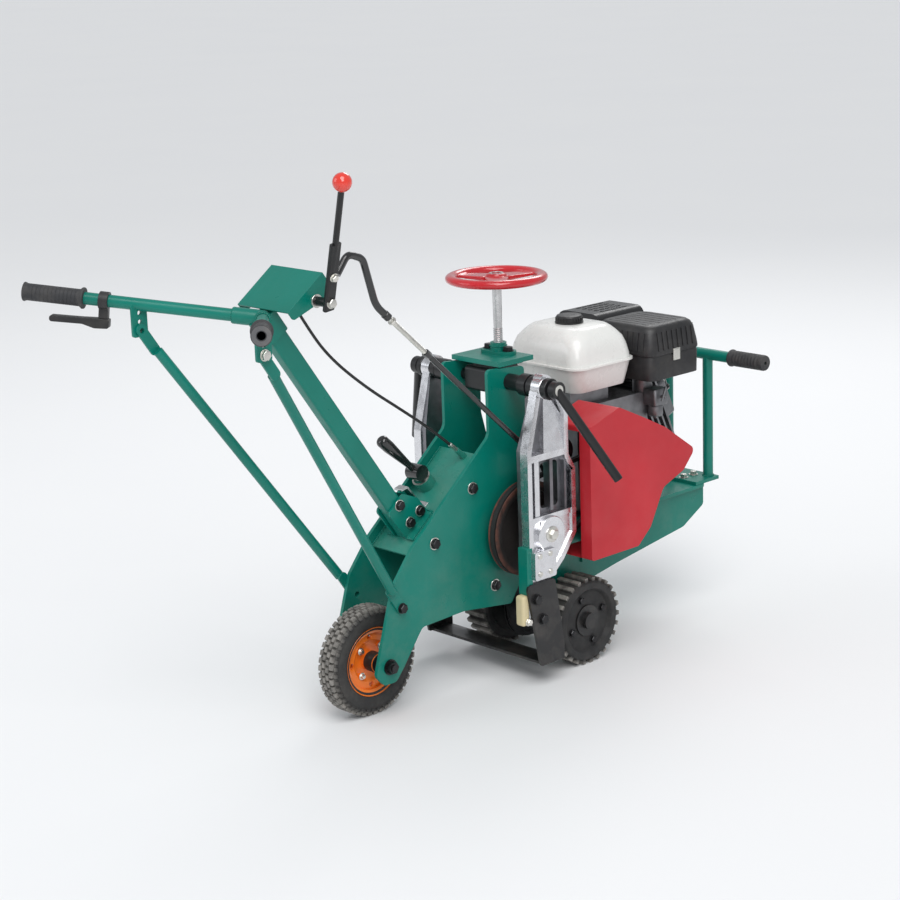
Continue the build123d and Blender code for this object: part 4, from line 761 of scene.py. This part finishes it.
for k in range(4):
    out, _ = wheel_spoke(math.radians(45 + 90 * k))
    spot = AXLE + out * 0.037
    add_hex(bm, spot - Y * 0.0118, -Y, 9, 5.5, 7.6)
    add_hex(bm, spot + Y * 0.0098, Y, 9, 5.5, 7.6)
finish_mesh("rim_bolts", bm, ZINC, "rear_wheel")


# Grips with ribs and hollow ends; the bars run from ROOT to TIPS

ROOT = at(-218, 0, 845)
TIPS = {sign: at(-504, sign * 356, 901) for sign in (1, -1)}
FRONT_HANDLE_X = 1000


def grip_profile():
    points = [(12.2, 0), (19.8, 0.3), (20.4, 1.5), (20.4, 4.2), (19.4, 5.4), (16.6, 8.5)]
    for k in range(12):
        h = 12 + k * 7.6
        points += [(16.3, h), (16.4, h + 1.6), (15.7, h + 2.2), (15.7, h + 2.9), (16.4, h + 3.5)]
    points += [(16.3, 106), (16.4, 112), (17.8, 114.4), (18.4, 116.0), (18.0, 117.6), (16.5, 118.2),
               (8.4, 118.2), (7.4, 117.2), (7.3, 111), (12.2, 111)]
    return points


bm, rings = bmesh.new(), bmesh.new()
for tip in TIPS.values():
    way = (tip - ROOT).normalized()
    add_lathe(bm, tip - way * 0.118, way, grip_profile(), 40, close=True)
    add_lathe(rings, tip - way * 0.0002, way, [(8.6, 0), (17.2, 0), (16.6, 0.5), (9.2, 0.5)], 40, close=True)
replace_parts(finish_mesh("grips_ribbed", bm, GRIP_RUBBER, "frame", 50), "grips")
finish_mesh("grip_rings", rings, GRIP_END, "frame")

bm = bmesh.new()
for sign in (-1, 1):
    ribs = [(12.6, 127), (18.8, 127.4), (19.4, 128.6), (19.4, 131), (17.6, 134)]
    for k in range(9):
        h = 138 + 8.6 * k
        ribs += [(17.5, h), (16.4, h + 1.2), (16.4, h + 2.6), (17.5, h + 3.8)]
    ribs += [(17.5, 219), (16.4, 222.4), (4, 223), (4, 219.6), (12.6, 219.6)]
    add_lathe(bm, at(FRONT_HANDLE_X, 0, 580), Y * sign, ribs, 36, close=True)
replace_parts(finish_mesh("front_grips_ribbed", bm, GRIP_RUBBER, "frame", 50), "front_grips")


# Hand wheel, cast in one with three tapered spokes, and its screw, with a thread up to a height

WHEEL_X = 397
WHEEL = at(WHEEL_X, 0, 835)
THREAD_TOP, THREAD_PITCH = 730, 4


def hand_wheel():
    bm = bmesh.new()
    ring = [(94 + 12.4 * math.cos(a), 9.4 * math.sin(a)) for a in [2 * math.pi * k / 24 for k in range(24)]]
    add_lathe(bm, WHEEL, UP, ring, 96, close=True)
    add_lathe(bm, WHEEL, UP, [
        (10.2, -17.6), (18.4, -17.6), (18.8, -14), (21, -6), (22, 2), (19, 9), (10.2, 9)], 64, close=True)
    for k in range(3):
        out, turn = upright_spoke(math.radians(107 + 120 * k))
        add_box(bm, WHEEL + out * 0.054 - UP * 0.0005, (50, 9.4, 76), turn, 0.62)
    wheel = finish_mesh("hand_wheel_cast", bm, RED, "depth_wheel")
    soften(wheel, 1.5, 8)
    return wheel


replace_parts(hand_wheel(), "hand_wheel")
low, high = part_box("depth_screw")
length = (high.z - low.z) * 1000
thread = [(6.0, 0.0), (8.6, 0.6)]
for k in range(int((THREAD_TOP - low.z * 1000) / THREAD_PITCH)):
    thread += [(r, h + THREAD_PITCH * k) for r, h in ((8.9, 1.4), (9.9, 2.6), (9.9, 3.2), (8.9, 4.6))]
thread += [(9.9, length - 42), (9.9, length - 0.8), (9.0, length)]
bm = bmesh.new()
add_lathe(bm, Vector(((low.x + high.x) / 2, (low.y + high.y) / 2, low.z)), UP, thread, 40)
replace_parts(finish_mesh("depth_screw_thread", bm, STEEL, "depth_wheel", 25), "depth_screw")
bm = bmesh.new()
add_lathe(bm, WHEEL + UP * 0.0088, UP, [(10.3, 0), (14.6, 0), (14.6, 1.2), (10.3, 1.2)], 32, close=True)
add_lathe(bm, WHEEL + UP * 0.006, UP, [(9.8, 0), (9.8, 0.1), (9.0, 0.6), (3, 1.6), (0.2, 1.8)], 32)
finish_mesh("wheel_washer", bm, STEEL, "depth_wheel")


# Bolts with bright washers on the plates, at the blade and at the handle

SLOPE = math.radians(40)
PLATE_EDGE_REAR = (73.0, 343.0)
DECK_SINK = 20
BRACKET_X = 122


def deck_spot(x, y, lift=0.0, along=0.0):
    """Point on the deck's upper face at station x, moved up its slope and off it, in millimetres."""
    cosine, sine = math.cos(SLOPE), math.sin(SLOPE)
    z = PLATE_EDGE_REAR[1] + (x - PLATE_EDGE_REAR[0]) * math.tan(SLOPE) - DECK_SINK / cosine
    return at(x + along * cosine - lift * sine, y, z + along * sine + lift * cosine)


bm, rims = bmesh.new(), bmesh.new()
for x, z in ((133, 338), (243, 430), (300, 210)):
    for sign in (-1, 1):
        spot = at(x, sign * 69, z)
        add_washer(rims, spot, Y * sign, 9.6, 12.8)
        add_hex(bm, spot, Y * sign, 18.6, 7.0, 11.0)
for u, w in ((6, 21), (12, 70), (39, 18)):
    for sign in (-1, 1):
        spot = deck_spot(BRACKET_X, sign * 20.3, w, u)
        add_washer(rims, spot, Y * sign, 9.0, 11.8)
        add_hex(bm, spot, Y * sign, 17.0, 7.0, 10.4)
for sign in (-1, 1):
    add_hex(bm, at(34, sign * 74.15, 228), Y * sign, 17.0, 7.0, 11.0)
    add_hex(rims, at(-366.72, sign * 188.12, 824.12), Y * sign, 17.0, 7.0, 11.0)
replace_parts(finish_mesh("frame_bolt_heads", bm, OXIDE, "frame"), "frame_bolts")
finish_mesh("bolt_washers", rims, ZINC, "frame")
bm = bmesh.new()
for x, z in ((316, 196), (333, 150)):
    for sign in (-1, 1):
        add_hex(bm, at(x, sign * 172, z), Y * sign, 18.6, 7.6, 12.4)
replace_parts(finish_mesh("blade_bolt_heads", bm, OXIDE, "knife"), "blade_bolts")
bm = bmesh.new()
for sign in (-1, 1):
    add_lathe(bm, around(SHAFT, sign * 210), Y * sign, [
        (3, 0.2), (11.4, 0.2), (11.8, -0.6), (13.6, -0.8), (13.6, -2.2), (3, -2.2)], 32, close=True)
for k in range(4):
    add_hex(bm, around(CRANK, 83, 30, math.radians(45 + 90 * k)), Y, 10, 5)
for x in (948, 982):
    for y in (-30, 30):
        add_hex(bm, at(x, y, 298), UP, 14, 7, 11)
finish_mesh("shaft_washers", bm, ZINC, "frame")
bm = bmesh.new()
for sign in (-1, 1):
    add_hex(bm, at(WHEEL_X, sign * 28, 684), UP, 19.2, 7.6, 12)
finish_mesh("bridge_bolts", bm, OXIDE, "frame")
bm = bmesh.new()
for sign in (-1, 1):
    for k in range(4):
        add_hex(bm, around(FRONT_AXLE, sign * 135, 50, math.radians(20 + 90 * k)), Y * sign, 13, 5.5, 9.4)
finish_mesh("drive_wheel_bolts", bm, OXIDE, "front_wheels")


# Weld beads where sheets and tubes meet

# Part of each bar's length that its sleeve on the head covers
BAR_SLEEVE = 57 / 459.94
bm = bmesh.new()
for sign in (-1, 1):
    edge = sign * 59.6
    add_bead(bm, deck_spot(80, edge, 1.0), deck_spot(279, edge, 1.0))
    add_bead(bm, at(498, sign * 69.6, 281.6), at(966, sign * 69.6, 281.6), 2.2, 3.2)
    add_bead(bm, at(330, sign * 68.4, 666.6), at(399, sign * 68.4, 666.6), 2.2, 3.2)
    for along in (-22, 52):
        near, far = (deck_spot(BRACKET_X, sign * y, 5.6, along) for y in (22, 37))
        add_bead(bm, near, far, 2.4)
    add_bead(bm, deck_spot(BRACKET_X, sign * 38.6, 1.2, -21), deck_spot(BRACKET_X, sign * 38.6, 1.2, 52), 2.4)
    bar = TIPS[sign] - ROOT
    add_bead_ring(bm, ROOT + bar * BAR_SLEEVE, basis(bar.normalized()), 13.4, 20, 1.9, 2.6)
    add_bead_ring(bm, at(FRONT_HANDLE_X, sign * 58.5, 298.8), Matrix.Identity(3), 12.5, 16, 1.9, 2.8)
add_bead_ring(bm, at(WHEEL_X, 0, 692.6), Matrix.Identity(3), 17.2, 16, 1.9, 2.8)
finish_mesh("weld_beads", bm, GREEN, "frame", 60)


# Control cable

CABLE = [(-160, 12, 900), (-112, 11, 822), (-58, 8, 745), (32, 4, 668), (130, 0, 600), (206, -8, 543),
         (252, -16, 500)]
curve = bpy.data.curves.new("control_cable_line", "CURVE")
curve.dimensions = "3D"
spline = curve.splines.new("NURBS")
spline.points.add(len(CABLE) - 1)
for point, spot in zip(spline.points, CABLE):
    point.co = (*at(*spot), 1)
spline.order_u = 3
spline.use_endpoint_u = True
curve.resolution_u = 12
curve.bevel_depth = 0.003
curve.bevel_resolution = 5
curve.use_fill_caps = True
curve.materials.append(CABLE_SKIN)
cable = bpy.data.objects.new("control_cable_line", curve)
bpy.context.scene.collection.objects.link(cable)
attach(cable, "frame")
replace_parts(cable, "control_cable")
bm = bmesh.new()
for a, b, reach in ((CABLE[0], CABLE[1], 34), (CABLE[-1], CABLE[-2], 22)):
    p, q = at(*a), at(*b)
    add_rod(bm, p, p + (q - p).normalized() * reach / 1000, 4.4, 20)
finish_mesh("cable_ferrules", bm, ZINC, "frame")


# Fuel tank and its cap

TANK = at(638, 25, 566)
CAP = at(638, 25, 700)
bm = bmesh.new()
add_sections(bm, TANK, [
    (0, 150, 180, 22), (1.6, 160, 190, 24), (8, 165, 195, 26), (30, 176, 206, 30), (50, 184, 214, 32),
    (53.6, 186, 216, 33), (54.3, 195, 225, 33.5), (58.3, 195, 225, 33.5), (59.0, 186, 216, 33),
    (70, 184, 214, 34), (90, 177, 207, 36), (106, 167, 197, 38), (118, 150, 180, 40), (127, 134, 164, 40),
    (132, 120, 150, 38), (133.6, 108, 138, 36)], 12)
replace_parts(finish_mesh("fuel_tank_shell", bm, WHITE_PLASTIC, "frame", 50), "fuel_tank")
bm = bmesh.new()
add_lathe(bm, CAP, UP, [
    (26, 0.1), (30.8, 0.3), (30.8, 3), (28.6, 4), (28.6, 13.4), (26.6, 16.4), (22, 17.6), (10, 17.9)], 48)
for k in range(28):
    out, turn = upright_spoke(2 * math.pi * k / 28)
    add_box(bm, CAP + out * 0.0288 + UP * 0.0088, (3.0, 8.6, 2.6), turn, 0.7)
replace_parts(finish_mesh("fuel_cap_ribbed", bm, BLACK_PLASTIC, "frame"), "fuel_cap")


# Air cleaner with ribs and clips

CLEANER = at(824, -29, 566)
COVER_LEAN = math.radians(8.2)
bm = bmesh.new()
add_sections(bm, CLEANER, [
    (0.2, 156, 164, 17), (2, 165, 173, 20), (50, 166, 174, 20), (53, 163, 171, 19), (55, 163, 171, 19),
    (56.5, 169, 177, 22), (60, 169.6, 177.6, 22), (72, 167.5, 175.5, 23), (104, 158, 166, 25),
    (114, 150, 158, 27), (118.6, 138, 146, 27), (119.8, 126, 134, 25)], 10)
for k in range(9):
    for sign in (-1, 1):
        add_box(bm, CLEANER + Vector((sign * 82.0, -64 + 16 * k, 86)) / 1000, (2.6, 5.0, 40),
                Matrix.Rotation(-sign * COVER_LEAN, 3, "Y"))
for k in range(8):
    for sign in (-1, 1):
        add_box(bm, CLEANER + Vector((-56 + 16 * k, sign * 86.0, 86)) / 1000, (5.0, 2.6, 40),
                Matrix.Rotation(sign * COVER_LEAN, 3, "X"))
for k in range(7):
    add_box(bm, CLEANER + Vector((-54 + 18 * k, 0, 119.4)) / 1000, (4.4, 112, 1.8))
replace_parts(finish_mesh("air_cleaner_ribbed", bm, BLACK_PLASTIC, "frame", 40), "air_cleaner")
bm = bmesh.new()
for sign in (-1, 1):
    add_box(bm, CLEANER + Vector((0, sign * 88.4, 52)) / 1000, (22, 2.2, 26))
    add_rod(bm, *(CLEANER + Vector((x, sign * 89.0, 62)) / 1000 for x in (-10, 10)), 1.8, 12)
finish_mesh("cleaner_clips", bm, ZINC, "frame")


# Fan housing and recoil starter

FAN = around(ENGINE, 120)
bm = bmesh.new()
bm.from_mesh(nodes["fan_housing"].data)
bmesh.ops.remove_doubles(bm, verts=bm.verts, dist=2e-6)
shell = finish_mesh("fan_shell", bm, BLACK_PLASTIC, "frame")
soften(shell, 2.4, 6)
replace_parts(shell, "fan_housing")
bm = bmesh.new()
add_lathe(bm, FAN + Y * 0.0755, Y, [
    (20, 0.0), (46, 0.2), (52, 0.0), (57, -2.6), (57, -3.4), (20, -3.4)], 72, close=True)
for k in range(30):
    out, turn = wheel_spoke(2 * math.pi * k / 30)
    add_box(bm, FAN + out * 0.0745 + Y * 0.0628, (4.2, 2.4, 24), turn)
    add_box(bm, FAN + out * 0.0915 + Y * 0.0530, (5.2, 14, 2.6), turn)
finish_mesh("recoil_ribs", bm, BLACK_PLASTIC, "frame")
bm = bmesh.new()
add_lathe(bm, FAN + Y * 0.0752, Y, [(3, 0.4), (16, 0.4), (18.6, 0.1), (18.6, -2), (3, -2)], 48, close=True)
for k in range(3):
    add_hex(bm, around(ENGINE, 166, 104, math.radians(30 + 120 * k)), Y, 8, 4, 6.5)
finish_mesh("recoil_bolts", bm, ZINC, "frame")
bm = bmesh.new()
pull = at(618, 166, 520)
add_rod(bm, pull + Vector((-0.018, 0, 0)), pull + Vector((0.018, 0, 0)), 6.4, 24, 3)
add_rod(bm, pull, pull - Y * 0.018, 3.2, 16)
finish_mesh("recoil_handle", bm, BLACK_PLASTIC, "frame")


# Louvres on the silencer's guard

MUFFLER = at(856, 131, 562)
bm = bmesh.new()
for k in range(7):
    for j in range(5):
        spot = MUFFLER + Vector((-54 + 18 * k, 62.2, 26 + 18 * j)) / 1000
        add_box(bm, spot, (11, 1.6, 5.0), Matrix.Rotation(math.radians(-18), 3, "X"))
        if k < 5:
            top = MUFFLER + Vector((-36 + 18 * k, -36 + 18 * j, 126.2)) / 1000
            add_box(bm, top, (11, 5.0, 1.4))
for sx in (-1, 1):
    for sz in (12, 114):
        add_hex(bm, MUFFLER + Vector((sx * 64, 62, sz)) / 1000, Y, 7, 3, 5.5)
finish_mesh("exhaust_louvres", bm, OXIDE, "frame")


# Engine bolts, carburettor, plugs

lean = Matrix.Rotation(math.radians(65), 3, "Y")


def on_head(x, y, z):
    """Point from the middle of the leaning cylinder head's face."""
    return at(740, 35, 412) + lean @ (Vector((x, y, 194 + z)) / 1000)


bm = bmesh.new()
for sx in (-1, 1):
    for sy in (-1, 1):
        add_hex(bm, on_head(sx * 38, sy * 42, 0), lean @ UP, 10, 5, 7)
add_hex(bm, on_head(0, -20, 0), lean @ UP, 18, 8, 11)
add_rod(bm, on_head(0, -20, 8), on_head(0, -20, 20), 4.2, 20)
for x in (580, 780):
    for y in (-34, 104):
        add_hex(bm, at(x, y, 304), UP, 14, 7, 11)
finish_mesh("engine_bolts", bm, ZINC, "frame")
bm = bmesh.new()
for k in range(6):
    add_hex(bm, around(ENGINE, -64, 64, math.radians(30 + 60 * k)), -Y, 10, 5, 7)
finish_mesh("cover_bolts", bm, ZINC, "frame")
FLOAT_BOWL = at(812, -66, 500)
bm = bmesh.new()
add_sections(bm, FLOAT_BOWL, [(0, 40, 34, 6), (2, 44, 38, 7), (34, 44, 38, 7), (37, 40, 34, 6)], 5)
add_lathe(bm, FLOAT_BOWL, -UP, [(15, 0), (16.5, 2), (16.5, 22), (13, 26), (5, 27), (5, 31), (3, 31)], 32)
add_rod(bm, at(812, -84, 520), at(812, -96, 520), 3.4, 16)
add_box(bm, at(806, -96, 528), (5, 2.4, 34), Matrix.Rotation(math.radians(25), 3, "Y"))
finish_mesh("carburettor", bm, ALLOY, "frame", 40)
bm = bmesh.new()
add_rod(bm, on_head(0, -20, 17), on_head(0, -20, 33), 8.6, 24, 2)
add_rod(bm, on_head(0, -20, 26), on_head(-26, -20, 26), 6.4, 20, 2)
finish_mesh("plug_cap", bm, GLOSS_BLACK, "frame")
bm = bmesh.new()
add_lathe(bm, at(640, -50, 330), -Y, [
    (4, 0), (13, 0), (13, 4), (10, 5), (10, 13), (8, 15), (3, 15.4)], 32)
finish_mesh("oil_plug", bm, GLOSS_BLACK, "frame")


# Black collars on both sides of the arms' tops

bm = bmesh.new()
for sign in (-1, 1):
    for inner, outer in ((134.2, 149.2), (176, 188.6)):
        add_lathe(bm, around(SHAFT, 0), Y * sign, [
            (12.4, inner), (20.6, inner), (22, inner + 1.4), (22, outer - 1.4), (20.6, outer), (12.4, outer)],
            48, close=True)
finish_mesh("shaft_collars", bm, BLACK_STEEL, "frame")


# Clutch rod: thick hook on the lever, bright threaded link, black rod down to the belt tightener

ROD = [(-142.2, -130, 930), (-112, -127, 964), (-74, -125, 950), (-46, -124, 857), (430, -121, 428)]
line = [at(*p) for p in rounded_path(ROD, [0, 22, 24, 60, 0], False, 10)]
hook, run = line[:-1], (line[-2], line[-1])
way = (run[1] - run[0]).normalized()
bm = bmesh.new()
add_tube(bm, hook + [run[0] + way * 0.012], 7.2)
add_lathe(bm, run[0] + way * 0.012, way, [(7.2, 0), (8.4, 1), (8.4, 13), (7.0, 14.5), (5, 14.5)], 28)
add_rod(bm, run[0] + way * 0.150, run[1], 5.6, 24)
add_lathe(bm, run[0] + way * 0.146, way, [(5, 0), (8.0, 1.4), (8.0, 16), (6.8, 18), (5, 18)], 6)
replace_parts(finish_mesh("clutch_rod_hook", bm, GLOSS_BLACK, "frame"), "clutch_rod")
bm = bmesh.new()
thread = [(5.0, 0)]
for k in range(44):
    thread += [(4.4, 20 + 2.8 * k), (5.1, 21.4 + 2.8 * k)]
add_lathe(bm, run[0] + way * 0.010, way, thread + [(5.0, 146)], 20)
add_lathe(bm, run[0] + way * 0.034, way, [(5, 0), (8.4, 0.4), (8.4, 6), (5, 6.4)], 6)
finish_mesh("clutch_rod_link", bm, ZINC, "frame")


# Bolts of the clutch lever, and the ring under the club-shaped lever

bm = bmesh.new()
add_hex(bm, at(-149, -117, 876), -Y, 16, 7, 10.4)
add_rod(bm, at(-149, -78.2, 876), at(-149, -74.8, 876), 13, 32)
outward = Vector((0, -0.922, -0.386))
add_hex(bm, at(-158, -134.5, 929.8) + outward * 0.005, outward, 13, 6, 9)
post = deck_spot(206, 26, 26.2)
normal = Vector((-math.sin(SLOPE), 0, math.cos(SLOPE)))
add_lathe(bm, post - normal * 0.0022, normal, [
    (16.6, 0), (20.4, 0), (20.6, 0.6), (20.4, 2.0), (16.6, 2.2)], 40, close=True)
finish_mesh("pivot_fittings", bm, ZINC, "frame")
dress("club_lever", 1.6, GLOSS_BLACK)


# Floor, world and soft lights

bm = bmesh.new()
for x, y in ((-90, -90), (90, -90), (90, 90), (-90, 90)):
    bm.verts.new((x, y, -0.0004))
bm.faces.new(bm.verts)
me = bpy.data.meshes.new("floor")
bm.to_mesh(me)
bm.free()
floor = bpy.data.objects.new("floor", me)
bpy.context.scene.collection.objects.link(floor)
floor_paint, tree, shader = new_material("floor_paint")
tone = ramp(tree, noise(tree, 0.8, 3), 0.3, 0.7)
grey = blend_colours(tree, tone, (0.812, 0.815, 0.82), (0.822, 0.824, 0.826))
tree.links.new(grey, shader.inputs["Base Color"])
shader.inputs["Roughness"].default_value = 0.7
shader.inputs["Specular IOR Level"].default_value = 0.25
me.materials.append(floor_paint)
floor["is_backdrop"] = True

world = bpy.data.worlds.new("studio")
bpy.context.scene.world = world
world.use_nodes = True
tree = world.node_tree
tree.nodes.clear()
out = tree.nodes.new("ShaderNodeOutputWorld")
sky = tree.nodes.new("ShaderNodeBackground")
sky.inputs["Color"].default_value = (0.93, 0.96, 1.0, 1)
sky.inputs["Strength"].default_value = 0.5
seen = tree.nodes.new("ShaderNodeBackground")
seen.inputs["Color"].default_value = (0.70, 0.71, 0.725, 1)
seen.inputs["Strength"].default_value = 1.0
path = tree.nodes.new("ShaderNodeLightPath")
mix = tree.nodes.new("ShaderNodeMixShader")
tree.links.new(path.outputs["Is Camera Ray"], mix.inputs["Fac"])
tree.links.new(sky.outputs["Background"], mix.inputs[1])
tree.links.new(seen.outputs["Background"], mix.inputs[2])
tree.links.new(mix.outputs["Shader"], out.inputs["Surface"])


def lamp(name, place, target, size, power, colour=(1, 1, 1)):
    data = bpy.data.lights.new(name, "AREA")
    data.shape = "DISK"
    data.size = size
    data.energy = power
    data.color = colour
    ob = bpy.data.objects.new(name, data)
    bpy.context.scene.collection.objects.link(ob)
    ob.location = place
    ob.rotation_mode = "QUATERNION"
    ob.rotation_quaternion = (Vector(target) - Vector(place)).to_track_quat("-Z", "Y")


sun = bpy.data.lights.new("sky_light", "SUN")
sun.energy = 1.5
sun.angle = math.radians(40)
sun_ob = bpy.data.objects.new("sky_light", sun)
bpy.context.scene.collection.objects.link(sun_ob)
sun_ob.rotation_mode = "QUATERNION"
sun_ob.rotation_quaternion = Vector((0.45, 0.62, -1.25)).to_track_quat("-Z", "Y")
lamp("key", (-2.6, -3.6, 3.4), (0, 0, 0.4), 2.2, 55)
lamp("fill", (-3.6, 2.6, 2.6), (0, 0, 0.5), 2.6, 30, (0.93, 0.96, 1.0))
lamp("rim", (3.2, 1.8, 3.4), (0, 0, 0.5), 2.0, 45)

low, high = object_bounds()
